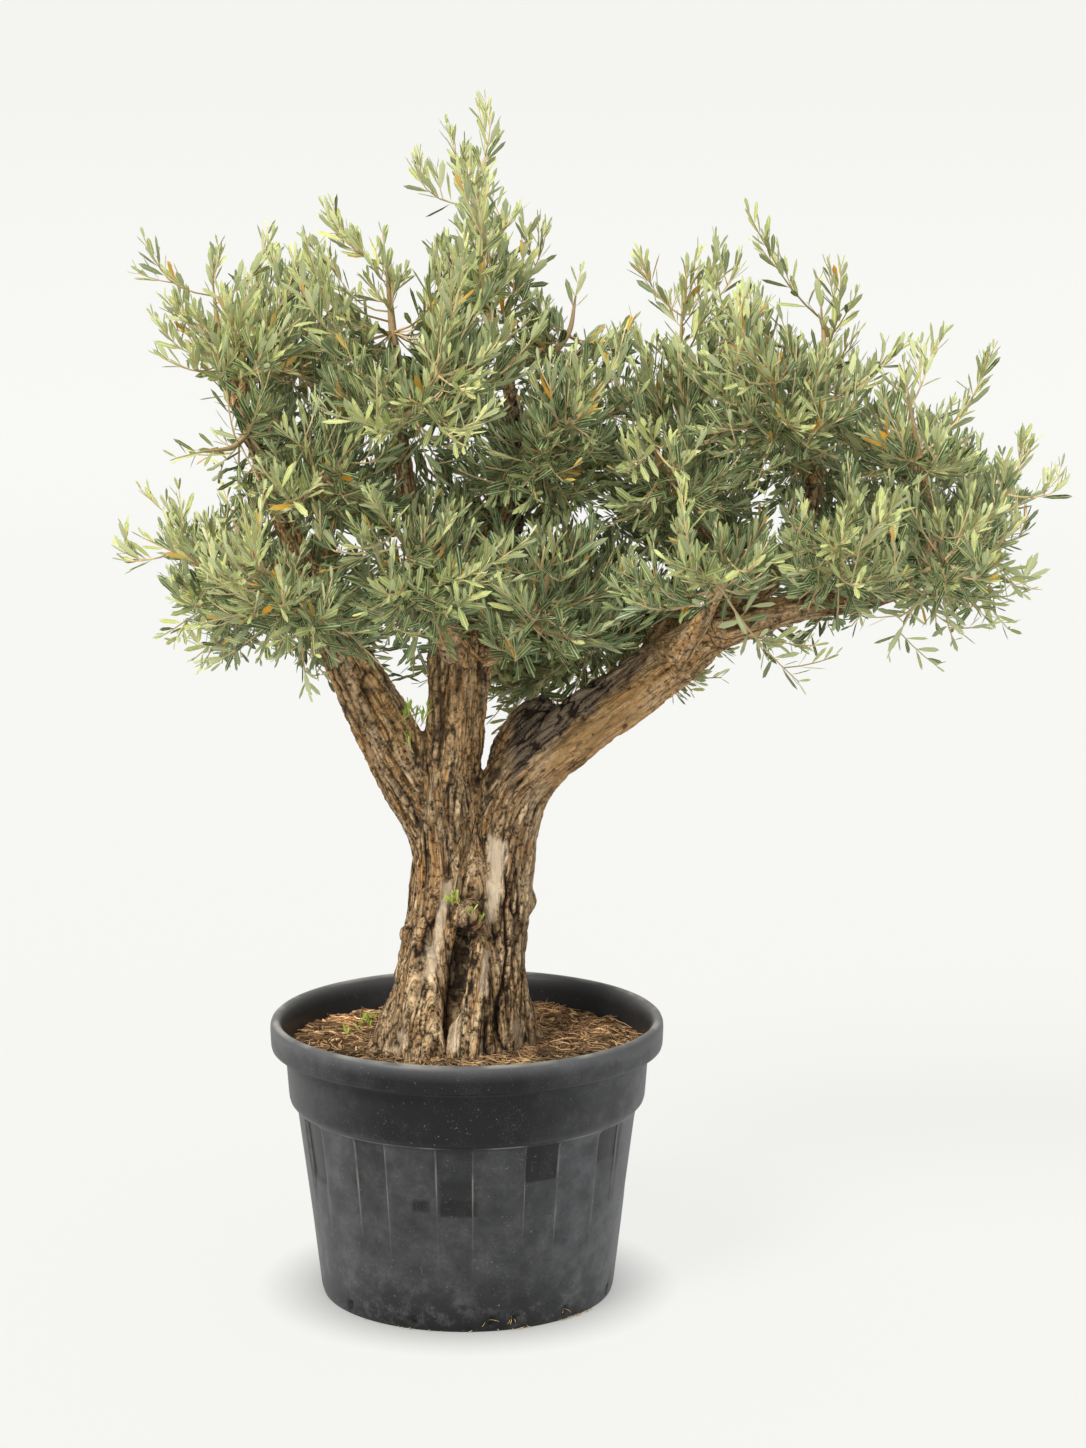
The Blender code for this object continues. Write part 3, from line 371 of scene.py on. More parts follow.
# Root ball: the soil fills the pot to a hand's breadth under the rim. Its top is a felt of dead roots, bark
# crumbs and straw, trodden loosely round the trunk, with painted shade darkening its hollows.
SOIL_EDGE = 0.2990
SOIL_LEVEL = 0.4085
SOIL_RINGS = 48
SOIL_COLUMNS = 190


def soil_height(x, y):
    """Height of the mulch: a low mound at the trunk, clumps 40 mm and 14 mm across, and 5 mm crumbs."""
    flat = np.stack([x, y, np.zeros_like(x)], axis=-1)
    mound = 0.010 * np.exp(-(np.hypot(x, y) / 0.13) ** 4)
    clumps = 0.0075 * noise(flat / 0.060, 1) + 0.0060 * noise(flat / 0.024, 2) + 0.0030 * noise(flat / 0.010, 3)
    return SOIL_LEVEL + mound + clumps


def tubes(paths, radii, sides, tip=0.4):
    """Closed round tubes, many at once, each a ring carried along its path and drawn to a pole at both ends.

    paths is (tubes, points, 3) and radii (tubes, points). The rings stand square to the path, turned from
    the axis that the tube as a whole runs least along.
    """
    ahead = np.gradient(paths, axis=1)
    ahead /= np.linalg.norm(ahead, axis=2, keepdims=True) + 1e-12
    least = np.abs(paths[:, -1] - paths[:, 0]).argmin(axis=1)
    side = np.cross(ahead, np.eye(3)[least][:, None])
    side /= np.linalg.norm(side, axis=2, keepdims=True) + 1e-12
    cross = np.cross(ahead, side)
    turns = np.arange(sides) * 2 * math.pi / sides
    spokes = side[:, :, None] * np.cos(turns)[:, None] + cross[:, :, None] * np.sin(turns)[:, None]
    points = paths[:, :, None] + radii[:, :, None, None] * spokes
    count, rings = paths.shape[:2]
    roots = paths[:, :1] - ahead[:, :1] * radii[:, :1, None] * tip
    tips = paths[:, -1:] + ahead[:, -1:] * radii[:, -1:, None] * tip
    points = np.concatenate([points.reshape(count, -1, 3), roots, tips], axis=1)
    ring = np.arange(sides)
    quads = grid(rings, sides)
    caps = np.concatenate([
        fan(ring, rings * sides, True), fan(ring + (rings - 1) * sides, rings * sides + 1),
    ])
    start = (np.arange(count) * (rings * sides + 2))[:, None, None]
    return points.reshape(-1, 3), (quads + start).reshape(-1, 4), (caps + start).reshape(-1, 3)


ring_radius = SOIL_EDGE * (np.linspace(0.10, 1.0, SOIL_RINGS) ** 0.9)
turn = np.arange(SOIL_COLUMNS) * 2 * math.pi / SOIL_COLUMNS
reach, turned = np.meshgrid(ring_radius, turn, indexing="ij")
soil_x, soil_y = (reach * np.sin(turned)).ravel(), (-reach * np.cos(turned)).ravel()
top = np.stack([soil_x, soil_y, soil_height(soil_x, soil_y)], axis=-1)
hem = top[-SOIL_COLUMNS:] * (0.985, 0.985, 0.0) + (0.0, 0.0, SOIL_LEVEL - 0.030)
soil_points = np.concatenate([top, hem, [[0, 0, SOIL_LEVEL + 0.006], [0, 0, SOIL_LEVEL - 0.030]]])
rows = SOIL_RINGS + 1
soil_faces = [
    grid(rows, SOIL_COLUMNS)[:, ::-1],
    np.concatenate([
        fan(np.arange(SOIL_COLUMNS), rows * SOIL_COLUMNS),
        fan(np.arange(SOIL_COLUMNS) + SOIL_RINGS * SOIL_COLUMNS, rows * SOIL_COLUMNS + 1, True),
    ]),
]
hollow = (soil_points[:, 2] - SOIL_LEVEL) / 0.010

# Dead roots, straw and bark crumbs: thin bent strands and short thick chips, strewn over the soil.
strew = np.random.default_rng(21)


def strewn(count, length, radius, rings, sides, lift, straw, gathered=False):
    """Bent strands lying at random on the soil: each a shallow arc of random length, turned any way.

    Gathered ones lie before the trunk's foot, where the wind leaves them.
    """
    where = np.sqrt(strew.uniform(0.02, 0.985, count)) * (SOIL_EDGE - 0.008)
    spin = strew.uniform(0, 2 * math.pi, count)
    if gathered:
        where, spin = strew.uniform(0.115, 0.215, count), strew.normal(0.0, 0.65, count)
    x, y = where * np.sin(spin), -where * np.cos(spin)
    size = strew.uniform(*length, count)
    heading = strew.uniform(0, 2 * math.pi, count)
    share = np.linspace(-0.5, 0.5, rings)
    bow = strew.normal(0, 0.22, count)[:, None] * size[:, None] * (share ** 2 - 0.1)
    ahead, aside = size[:, None] * share, bow
    px = x[:, None] + np.cos(heading)[:, None] * ahead - np.sin(heading)[:, None] * aside
    py = y[:, None] + np.sin(heading)[:, None] * ahead + np.cos(heading)[:, None] * aside
    out = np.hypot(px, py)
    pull = np.minimum(1, (SOIL_EDGE - 0.004) / out)
    px, py = px * pull, py * pull
    rise = strew.uniform(*lift, count)[:, None] + strew.normal(0, 0.07, count)[:, None] * ahead
    pz = soil_height(px.ravel(), py.ravel()).reshape(px.shape) * 0.6 + (SOIL_LEVEL + 0.002) * 0.4 + rise
    thick = strew.uniform(*radius, count)[:, None] * (1 - 0.5 * (2 * share) ** 2)
    points, quads, ends = tubes(np.stack([px, py, pz], axis=-1), thick, sides)
    tone = np.repeat(np.clip(strew.beta(*straw, count), 0, 1), rings * sides + 2)
    return points, quads, ends, tone


strands = [
    strewn(1750, (0.018, 0.075), (0.0005, 0.0013), 5, 3, (0.000, 0.007), (1.0, 2.4)),
    strewn(1100, (0.006, 0.020), (0.0012, 0.0034), 3, 4, (-0.001, 0.005), (0.9, 2.2)),
    strewn(330, (0.010, 0.050), (0.0006, 0.0013), 4, 3, (0.002, 0.008), (4.0, 1.2), True),
]
points, faces4, faces3, tones = [soil_points], [soil_faces[0]], [soil_faces[1]], [np.full(len(soil_points), -1.0)]
for more_points, quads, ends, tone in strands:
    start = sum(map(len, points))
    points.append(more_points)
    faces4.append(quads + start)
    faces3.append(ends + start)
    tones.append(tone)
tones = np.concatenate(tones)
depth = np.where(tones < 0, np.concatenate([hollow, np.zeros(len(tones) - len(hollow))]), 0.6)

# Root mulch: matt and fibrous, from nearly black through red-brown rootlets to dry straw; painted shade darkens
# the hollows, and painted light darkens the front of the soil and brightens its back.
mulch, shader = finish("root and bark mulch", 0.92, 1.4)
place = add(mulch, "ShaderNodeTexCoord").outputs["Object"]
tone = add(mulch, "ShaderNodeAttribute", attribute_name="straw").outputs["Fac"]
sunk = add(mulch, "ShaderNodeAttribute", attribute_name="sunk").outputs["Fac"]
crumbs = add(mulch, "ShaderNodeTexNoise", {"Vector": place, "Scale": 190.0, "Detail": 4.0, "Roughness": 0.7})
patches = add(mulch, "ShaderNodeTexNoise", {"Vector": place, "Scale": 22.0, "Detail": 3.0})
ground = add(mulch, "ShaderNodeMix", {
    "Factor": crumbs.outputs["Fac"], 6: linear("#1c120b"), 7: linear("#875f3b"),
}, data_type="RGBA")
strand = add(mulch, "ShaderNodeMix", {"Factor": tone, 6: linear("#3f2b1d"), 7: linear("#cdaa7c")}, data_type="RGBA")
is_strand = add(mulch, "ShaderNodeMath", {0: tone, 1: -0.5}, operation="GREATER_THAN")
both = add(mulch, "ShaderNodeMix", {
    "Factor": is_strand.outputs[0], 6: ground.outputs[2], 7: strand.outputs[2],
}, data_type="RGBA")
# Painted shade: the mulch darkens in its hollows and lightens on its crests and on the strands lying above it.
shade = add(mulch, "ShaderNodeMapRange", {
    "Value": sunk, "From Min": -0.8, "From Max": 0.7, "To Min": 0.30, "To Max": 1.40,
})
drift = add(mulch, "ShaderNodeMapRange", {
    "Value": patches.outputs["Fac"], "From Min": 0.34, "From Max": 0.66, "To Min": 0.60, "To Max": 1.5,
})
# Painted light: the soil is coloured darker in front and brighter toward the back.
across_pot = add(mulch, "ShaderNodeSeparateXYZ", {0: place})
front_back_painted_light = add(mulch, "ShaderNodeMapRange", {
    "Value": across_pot.outputs["Y"], "From Min": -0.08, "From Max": 0.14, "To Min": 0.67, "To Max": 1.60,
})
drift_and_painted_light = add(mulch, "ShaderNodeMath", {0: drift.outputs[0], 1: front_back_painted_light.outputs[0]}, operation="MULTIPLY")
level = add(mulch, "ShaderNodeMath", {0: shade.outputs[0], 1: drift_and_painted_light.outputs[0]}, operation="MULTIPLY")
toned = add(mulch, "ShaderNodeVectorMath", {0: both.outputs[2]}, operation="SCALE")
mulch.node_tree.links.new(level.outputs[0], toned.inputs["Scale"])
mulch.node_tree.links.new(toned.outputs[0], shader.inputs["Base Color"])
grit = add(mulch, "ShaderNodeBump", {"Height": crumbs.outputs["Fac"], "Strength": 0.8, "Distance": 0.003})
mulch.node_tree.links.new(grit.outputs["Normal"], shader.inputs["Normal"])

soil = put("mulched_soil", np.concatenate(points), [np.concatenate(faces4), np.concatenate(faces3)], [mulch])
note(soil, "straw", tones)
note(soil, "sunk", depth)
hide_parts("soil")
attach(soil, "root")

# Trunk and limbs: living olive wood, two old stems grown together over a cleft. Each piece of wood is given
# as (x, y, z, radius) along its middle. The thick ones are grown into one skin, the thinner set into it.
WOOD = {
    "left_stem": (14, (
        (-0.062, -0.004, 0.360, 0.094), (-0.058, -0.004, 0.420, 0.084), (-0.052, -0.006, 0.480, 0.072),
        (-0.044, -0.004, 0.560, 0.064), (-0.036, -0.002, 0.640, 0.060), (-0.028, 0.000, 0.720, 0.059),
        (-0.030, 0.000, 0.800, 0.058), (-0.029, 0.000, 0.870, 0.050), (-0.022, 0.000, 0.940, 0.047),
        (-0.015, 0.000, 1.010, 0.048), (-0.012, 0.002, 1.060, 0.050), (-0.010, 0.004, 1.105, 0.040),
    )),
    "right_stem": (14, (
        (0.042, -0.004, 0.360, 0.086), (0.042, -0.004, 0.420, 0.070), (0.044, -0.006, 0.480, 0.058),
        (0.046, -0.004, 0.560, 0.052), (0.050, -0.002, 0.640, 0.053), (0.056, 0.000, 0.720, 0.057),
        (0.065, 0.000, 0.790, 0.058), (0.086, 0.000, 0.848, 0.056), (0.125, 0.000, 0.893, 0.052),
        (0.178, 0.000, 0.936, 0.050), (0.252, 0.000, 0.988, 0.048), (0.318, 0.000, 1.036, 0.045),
        (0.384, 0.002, 1.085, 0.038),
    )),
    "left_limb": (12, (
        (-0.030, 0.000, 0.680, 0.040), (-0.058, 0.000, 0.790, 0.046), (-0.094, -0.002, 0.868, 0.050),
        (-0.135, -0.008, 0.953, 0.047), (-0.168, -0.010, 1.018, 0.043), (-0.200, -0.012, 1.084, 0.037),
        (-0.228, -0.012, 1.140, 0.030),
    )),
    "dead_wood": (8, (
        (0.070, 0.012, 0.830, 0.040), (0.080, 0.018, 0.897, 0.039), (0.112, 0.022, 0.946, 0.036),
        (0.142, 0.024, 0.974, 0.024),
    )),
    "web": (8, (
        (0.006, -0.002, 0.600, 0.034), (0.010, -0.010, 0.680, 0.044), (0.012, -0.006, 0.780, 0.030),
    )),
    "front_root": (7, (
        (0.020, -0.030, 0.622, 0.020), (0.016, -0.052, 0.545, 0.028), (0.010, -0.070, 0.455, 0.035),
        (0.008, -0.088, 0.360, 0.046),
    )),
    "left_front_root": (7, (
        (-0.056, -0.022, 0.610, 0.026), (-0.066, -0.058, 0.470, 0.034), (-0.076, -0.086, 0.360, 0.048),
    )),
    "left_root": (7, (
        (-0.070, -0.004, 0.560, 0.026), (-0.110, -0.026, 0.450, 0.030), (-0.146, -0.044, 0.360, 0.042),
    )),
    "back_root": (7, (
        (-0.010, 0.016, 0.600, 0.036), (-0.014, 0.054, 0.460, 0.042), (-0.018, 0.084, 0.360, 0.052),
    )),
    "right_root": (7, (
        (0.060, 0.006, 0.540, 0.024), (0.082, 0.024, 0.450, 0.030), (0.100, 0.038, 0.360, 0.040),
    )),
    "left_up": (7, (
        (-0.215, -0.012, 1.110, 0.030), (-0.262, -0.018, 1.215, 0.022), (-0.302, -0.022, 1.310, 0.017),
        (-0.340, -0.022, 1.420, 0.012), (-0.374, -0.020, 1.520, 0.0072),
    )),
    "left_out": (6, (
        (-0.210, -0.012, 1.100, 0.026), (-0.275, -0.018, 1.142, 0.016), (-0.345, -0.020, 1.174, 0.0085),
    )),
    "left_back": (6, (
        (-0.190, -0.005, 1.070, 0.028), (-0.212, 0.060, 1.150, 0.018), (-0.236, 0.146, 1.250, 0.0090),
    )),
    "left_front": (6, (
        (-0.215, -0.015, 1.110, 0.024), (-0.230, -0.074, 1.150, 0.015), (-0.246, -0.138, 1.176, 0.0085),
    )),
    "centre_left": (7, (
        (-0.018, 0.000, 1.060, 0.036), (-0.048, -0.012, 1.150, 0.028), (-0.070, -0.020, 1.230, 0.023),
        (-0.092, -0.022, 1.330, 0.016), (-0.104, -0.018, 1.440, 0.012), (-0.112, -0.014, 1.560, 0.0072),
    )),
    "centre_right": (7, (
        (-0.004, 0.004, 1.060, 0.036), (0.032, 0.010, 1.140, 0.027), (0.060, 0.018, 1.220, 0.022),
        (0.082, 0.024, 1.320, 0.017), (0.080, 0.018, 1.440, 0.013), (0.048, 0.008, 1.580, 0.0080),
    )),
    "centre_back": (6, (
        (-0.008, 0.010, 1.050, 0.034), (-0.002, 0.070, 1.130, 0.022), (0.016, 0.130, 1.210, 0.017),
        (0.036, 0.204, 1.270, 0.0090),
    )),
    "centre_front": (6, (
        (-0.012, -0.010, 1.060, 0.034), (-0.034, -0.084, 1.130, 0.017), (-0.056, -0.158, 1.200, 0.0085),
    )),
    "centre_spur": (6, (
        (0.000, 0.000, 1.050, 0.022), (0.054, -0.012, 1.064, 0.014), (0.094, -0.086, 1.112, 0.0085),
    )),
    "right_lower": (8, (
        (0.350, 0.000, 1.062, 0.036), (0.400, -0.004, 1.096, 0.034), (0.459, -0.012, 1.117, 0.028),
        (0.550, -0.025, 1.143, 0.023), (0.648, -0.020, 1.155, 0.019), (0.723, 0.000, 1.180, 0.016),
        (0.800, 0.010, 1.238, 0.0100),
    )),
    "right_upper": (7, (
        (0.340, 0.004, 1.062, 0.034), (0.425, 0.028, 1.130, 0.026), (0.505, 0.050, 1.190, 0.020),
        (0.556, 0.068, 1.280, 0.015), (0.578, 0.088, 1.400, 0.0090),
    )),
    "right_inner": (6, (
        (0.490, 0.046, 1.178, 0.019), (0.440, 0.026, 1.218, 0.016), (0.396, 0.016, 1.262, 0.014),
        (0.366, 0.014, 1.370, 0.0085),
    )),
    "right_back": (6, (
        (0.290, 0.010, 1.020, 0.030), (0.335, 0.090, 1.110, 0.018), (0.374, 0.176, 1.216, 0.0090),
    )),
    "right_front": (6, (
        (0.330, -0.006, 1.050, 0.028), (0.368, -0.080, 1.110, 0.016), (0.398, -0.164, 1.178, 0.0085),
    )),
}
KNOBS = ((0.006, -0.070, 0.643, 0.021), (0.100, -0.012, 0.655, 0.0175), (-0.094, -0.012, 0.600, 0.018))
SKIN = 0.0037
# A strip of wood at the foot of the cleft, and a root ridge to the right of the crack in front
FOOT_STRIPS = (
    ((-0.040, -0.078, 0.380, 0.016), (-0.036, -0.066, 0.420, 0.012), (-0.031, -0.052, 0.465, 0.007)),
    ((0.066, -0.078, 0.370, 0.026), (0.064, -0.060, 0.440, 0.020), (0.066, -0.046, 0.520, 0.014),
     (0.070, -0.038, 0.590, 0.009)),
)
BARK_STEP = 0.004


def grown(line, step):
    """The wood's middle line and radius on a cubic curve through its points, with a square frame at each.

    The slope at a point is the mean slope of its neighbours. The side direction is square to the wood and to
    one slanting line, so it hardly turns along the wood.
    """
    line = np.array(line, float)
    walked = np.concatenate([[0], np.cumsum(np.linalg.norm(np.diff(line[:, :3], axis=0), axis=1))])
    slope = np.gradient(line, walked, axis=0)
    at = np.linspace(0, walked[-1], max(int(walked[-1] / step), 6) + 1)
    i = np.clip(np.searchsorted(walked, at, side="right") - 1, 0, len(line) - 2)
    span = (walked[i + 1] - walked[i])[:, None]
    t = ((at - walked[i]) / span[:, 0])[:, None]
    curve = (
        (2 * t ** 3 - 3 * t ** 2 + 1) * line[i] + (t ** 3 - 2 * t ** 2 + t) * span * slope[i]
        + (3 * t ** 2 - 2 * t ** 3) * line[i + 1] + (t ** 3 - t ** 2) * span * slope[i + 1]
    )
    ahead = np.gradient(curve[:, :3], axis=0)
    ahead /= np.linalg.norm(ahead, axis=1)[:, None]
    side = np.cross(ahead, (0.31, 0.93, 0.19))
    side /= np.linalg.norm(side, axis=1)[:, None]
    return {
        "middle": curve[:, :3], "radius": curve[:, 3], "walked": at, "ahead": ahead, "side": side,
        "cross": np.cross(ahead, side), "rings": np.interp(at, walked, np.arange(len(line))),
    }


def log_surface(wood, sides, flute, phase, collar=0.0):
    """Rings of a log, (rings, sides, 3): its radius swells and dips round it in five and three soft lobes."""
    turns = np.arange(sides) * 2 * math.pi / sides
    lobes = 0.6 * np.cos(5 * turns + phase + 0.25 * wood["rings"][:, None])
    lobes = lobes + 0.4 * np.cos(3 * turns - phase + 0.2 * wood["rings"][:, None])
    spread = 1 + collar * np.exp(-wood["walked"] / 0.035)
    reach = (wood["radius"] * spread)[:, None] * (1 + flute * lobes)
    spokes = wood["side"][:, None] * np.cos(turns)[:, None] + wood["cross"][:, None] * np.sin(turns)[:, None]
    return wood["middle"][:, None] + reach[..., None] * spokes, spokes, turns


def closed_log(surface, wood):
    """Points and faces of a log whose ends are drawn to a pole."""
    rings, sides = surface.shape[:2]
    ends = np.stack([wood["middle"][0] - wood["ahead"][0] * 0.002, wood["middle"][-1] + wood["ahead"][-1] * 0.002])
    ring = np.arange(sides)
    caps = np.concatenate([
        fan(ring, rings * sides, True), fan(ring + (rings - 1) * sides, rings * sides + 1),
    ])
    return np.concatenate([surface.reshape(-1, 3), ends]), grid(rings, sides), caps


def bark_relief(x, y, s, radius, blocky, seed=0):
    """Height of old bark over the wood, and how deep in a crack a point lies, from its place on the log.

    x and y run across the log and s along it. Noise drawn out along s gives strings of bark, and where it
    passes through nought lies a crack: long ones two centimetres apart, finer ones between, and cross cracks
    that cut the strings into blocks. A slower noise bends them all.
    """
    grow = np.clip(radius / 0.05, 0.22, 1.0)
    out = np.hypot(x, y) + 1e-9
    x, y = x / out * radius, y / out * radius
    spot = np.stack([x, y, s], axis=-1)
    bend_x = noise(spot / (0.055, 0.055, 0.10), seed + 11)
    bend_y = noise(spot / (0.055, 0.055, 0.10), seed + 12)
    spot = spot + np.stack([bend_x, bend_y, np.zeros_like(s)], axis=-1) * 0.010 * grow[:, None]
    spot = spot / (0.4 + 0.6 * grow[:, None])
    strings = noise(spot / (0.024, 0.024, 0.170), seed + 1)
    fine = noise(spot / (0.0105, 0.0105, 0.062), seed + 2)
    blocks = noise(spot / (0.022, 0.022, 0.013), seed + 3)
    lumps = noise(spot / (0.040, 0.040, 0.085), seed + 4)
    crumbs = noise(spot / (0.0075, 0.0075, 0.016), seed + 5)
    open_cracks = ease(-0.45, 0.15, noise(spot / (0.05, 0.05, 0.12), seed + 6))
    long_crack = np.exp(-(strings / 0.070) ** 2) * (0.25 + 0.75 * open_cracks)
    fine_crack = np.exp(-(fine / 0.12) ** 2)
    cross_crack = np.exp(-(blocks / 0.10) ** 2) * blocky
    height = 0.0034 * lumps + 0.0016 * crumbs + 0.0028 * np.abs(strings) + 0.0012 * np.abs(fine)
    height -= 0.0066 * long_crack + 0.0026 * fine_crack * (1 - 0.6 * long_crack) + 0.0018 * cross_crack
    return height * grow, np.clip(long_crack + 0.55 * fine_crack + 0.5 * cross_crack, 0, 1.3)


def blot(places, low, high, half_low, half_high):
    """1 inside a slanting oval blot on the front of the trunk, falling to 0 past its edge. Ends are (x, z)."""
    low, high = np.array(low), np.array(high)
    run = high - low
    flat = places[:, (0, 2)] - low
    share = np.clip(flat @ run / (run @ run), 0, 1)
    edge = 0.26 * noise(places / (0.010, 0.010, 0.050), 31) + 0.20 * noise(places / (0.0045, 0.0045, 0.022), 32)
    half = half_low + (half_high - half_low) * share
    apart = np.linalg.norm(flat - share[:, None] * run, axis=1) / half + edge * 2.2
    return (1 - ease(0.45, 1.25, apart)) * (places[:, 1] < 0.0)


woods = {name: grown(line, BARK_STEP) for name, (sides, line) in WOOD.items()}
thick_names = list(WOOD)[:10] + ["left_up", "centre_left", "centre_right", "right_lower", "right_upper"]
for number, strip in enumerate(FOOT_STRIPS):
    woods["strip_%d" % number] = grown(strip, BARK_STEP)
    thick_names.append("strip_%d" % number)
points, quads, caps = [], [], []
for name in thick_names:
    sides, phase = (WOOD[name][0], 1.7 * list(WOOD).index(name)) if name in WOOD else (6, 0.4)
    surface, _, _ = log_surface(woods[name], 40, 0.13 if sides > 10 else 0.06, phase)
    start = sum(map(len, points))
    log_points, log_quads, log_caps = closed_log(surface, woods[name])
    points.append(log_points)
    quads.append(log_quads + start)
    caps.append(log_caps + start)
trunk = put("trunk_wood", np.concatenate(points), [np.concatenate(quads), np.concatenate(caps)], [])
for x, y, z, radius in KNOBS:
    bpy.ops.mesh.primitive_uv_sphere_add(segments=24, ring_count=16, radius=radius, location=(x * 0.97, y, z))
    bpy.context.object.scale = (1.0, 1.0, 1.35)
    knob = bpy.context.object
    bpy.ops.object.select_all(action="DESELECT")
    knob.select_set(True)
    trunk.select_set(True)
    bpy.context.view_layer.objects.active = trunk
    bpy.ops.object.join()
skin = trunk.modifiers.new("skin", "REMESH")
skin.mode = "VOXEL"
skin.voxel_size = SKIN
soften = trunk.modifiers.new("soften", "SMOOTH")
soften.factor = 0.5
soften.iterations = 7
bpy.context.view_layer.update()
trunk.data = bpy.data.meshes.new_from_object(trunk.evaluated_get(bpy.context.evaluated_depsgraph_get()))
trunk.modifiers.clear()
count = len(trunk.data.vertices)
bare = np.empty(count * 3, np.float32)
trunk.data.vertices.foreach_get("co", bare)
bare = bare.reshape(-1, 3).astype(float)
facing = np.empty(count * 3, np.float32)
trunk.data.vertices.foreach_get("normal", facing)
facing = facing.reshape(-1, 3).astype(float)

# Each point of the skin takes its bark from the wood that it lies nearest to, shared smoothly where two
# pieces of wood meet.
which, apart, spots = [], [], []
for number, name in enumerate(thick_names):
    wood = woods[name]
    low, high = wood["middle"].min(axis=0) - 0.14, wood["middle"].max(axis=0) + 0.14
    near = np.flatnonzero(((bare > low) & (bare < high)).all(axis=1))
    gap = (bare[near] ** 2).sum(axis=1)[:, None] + (wood["middle"] ** 2).sum(axis=1) - 2 * bare[near] @ wood["middle"].T
    closest = (np.sqrt(np.maximum(gap, 0)) - wood["radius"]).argmin(axis=1)
    offset = bare[near] - wood["middle"][closest]
    which.append(np.stack([near, np.full(len(near), number)], axis=1))
    apart.append(np.linalg.norm(offset, axis=1) - wood["radius"][closest])
    spots.append(np.stack([
        (offset * wood["side"][closest]).sum(axis=1), (offset * wood["cross"][closest]).sum(axis=1),
        (offset * wood["ahead"][closest]).sum(axis=1) + wood["walked"][closest], wood["radius"][closest],
    ], axis=1))
which, apart, spots = np.concatenate(which), np.concatenate(apart), np.concatenate(spots)
least = np.full(count, 1.0)
np.minimum.at(least, which[:, 0], apart)
share = np.exp(-(apart - least[which[:, 0]]) / 0.006)
kept = share > 0.04
which, share, spots = which[kept], share[kept], spots[kept]
total = np.bincount(which[:, 0], share, minlength=count)
share = share / total[which[:, 0]]

# Where the bark is gone: a smooth pale scar in front, worn streaks on the left stem and foot, and the whole
# front of the long right limb. Its upper side and the snag behind the crotch are dead and weathered grey.
scar = np.maximum.reduce([
    blot(bare, (0.040, 0.632), (0.052, 0.752), 0.008, 0.019),
    0.72 * blot(bare, (-0.060, 0.545), (-0.047, 0.612), 0.012, 0.012),
    0.66 * blot(bare, (-0.042, 0.622), (-0.030, 0.690), 0.009, 0.009),
    0.7 * blot(bare, (-0.018, 0.432), (-0.010, 0.490), 0.008, 0.006),
    0.5 * blot(bare, (0.024, 0.405), (0.030, 0.440), 0.008, 0.006),
    0.7 * blot(bare, (-0.128, 0.405), (-0.098, 0.445), 0.012, 0.010),
    0.6 * blot(bare, (0.088, 0.410), (0.080, 0.460), 0.010, 0.008),
    0.6 * blot(bare, (0.030, 0.520), (0.034, 0.580), 0.007, 0.007),
])
limb_line = woods["right_stem"]["middle"]
limb_height = np.interp(bare[:, 0], limb_line[:, 0], limb_line[:, 2])
above = bare[:, 2] - limb_height
on_limb = ease(0.085, 0.14, bare[:, 0])
ragged = 0.012 * noise(bare / 0.05, 41) + 0.006 * noise(bare / 0.015, 42)
dead = ease(0.012, 0.030, above + ragged) * ease(0.060, 0.085, bare[:, 0]) * (bare[:, 2] > 0.80)
dead *= 1 - 0.80 * ease(0.20, 0.33, bare[:, 0] + ragged * 2.5)
worn = on_limb * (1 - dead) * ease(-0.5, 0.5, noise(bare / 0.05, 43) + 0.30) * (1 - 0.85 * ease(0.25, 0.37, bare[:, 0]))
smooth_wood = np.clip(0.85 * scar + 0.62 * worn, 0, 1)
from_burl = np.linalg.norm(bare - KNOBS[0][:3], axis=1)
burl = np.exp(-(from_burl / 0.027) ** 4)
# A ring round the front of the burl: sunk in, and painted dark as the burl's shadow.
burl_groove_and_shade = np.exp(-((from_burl - 0.031) / 0.0055) ** 2) * (bare[:, 1] < 0)
blocky = 0.7 * ease(0.70, 0.86, bare[:, 2]) * (bare[:, 0] < 0.06) + 0.5 * burl + 0.3 * ease(0.28, 0.36, bare[:, 0])
# The cleft in front, and the long crack beside it, as (height, place across, half width)
CLEFT = ((0.425, -0.036, 0.003), (0.455, -0.031, 0.005), (0.48, -0.026, 0.010), (0.52, -0.020, 0.0155),
         (0.555, -0.015, 0.0165), (0.59, -0.009, 0.0115), (0.634, -0.003, 0.0055))
LONG_CRACK = ((0.43, 0.042, 0.0024), (0.46, 0.048, 0.0030), (0.495, 0.052, 0.0034), (0.54, 0.062, 0.0032),
              (0.57, 0.067, 0.0036), (0.65, 0.064, 0.0030), (0.74, 0.069, 0.0022))
wobble = 0.003 * noise(bare / 0.03, 47)
openings = []
for line in (CLEFT, LONG_CRACK):
    heights, places, halves = np.array(line).T
    off = bare[:, 0] - np.interp(bare[:, 2], heights, places) - wobble
    opening = np.exp(-(off / np.interp(bare[:, 2], heights, halves)) ** 4) * (bare[:, 1] < 0)
    opening *= ease(heights[0], heights[0] + 0.03, bare[:, 2])
    openings.append(opening * (1 - ease(heights[-1] - 0.025, heights[-1], bare[:, 2])))
hidden_cleft, beside_crack = openings

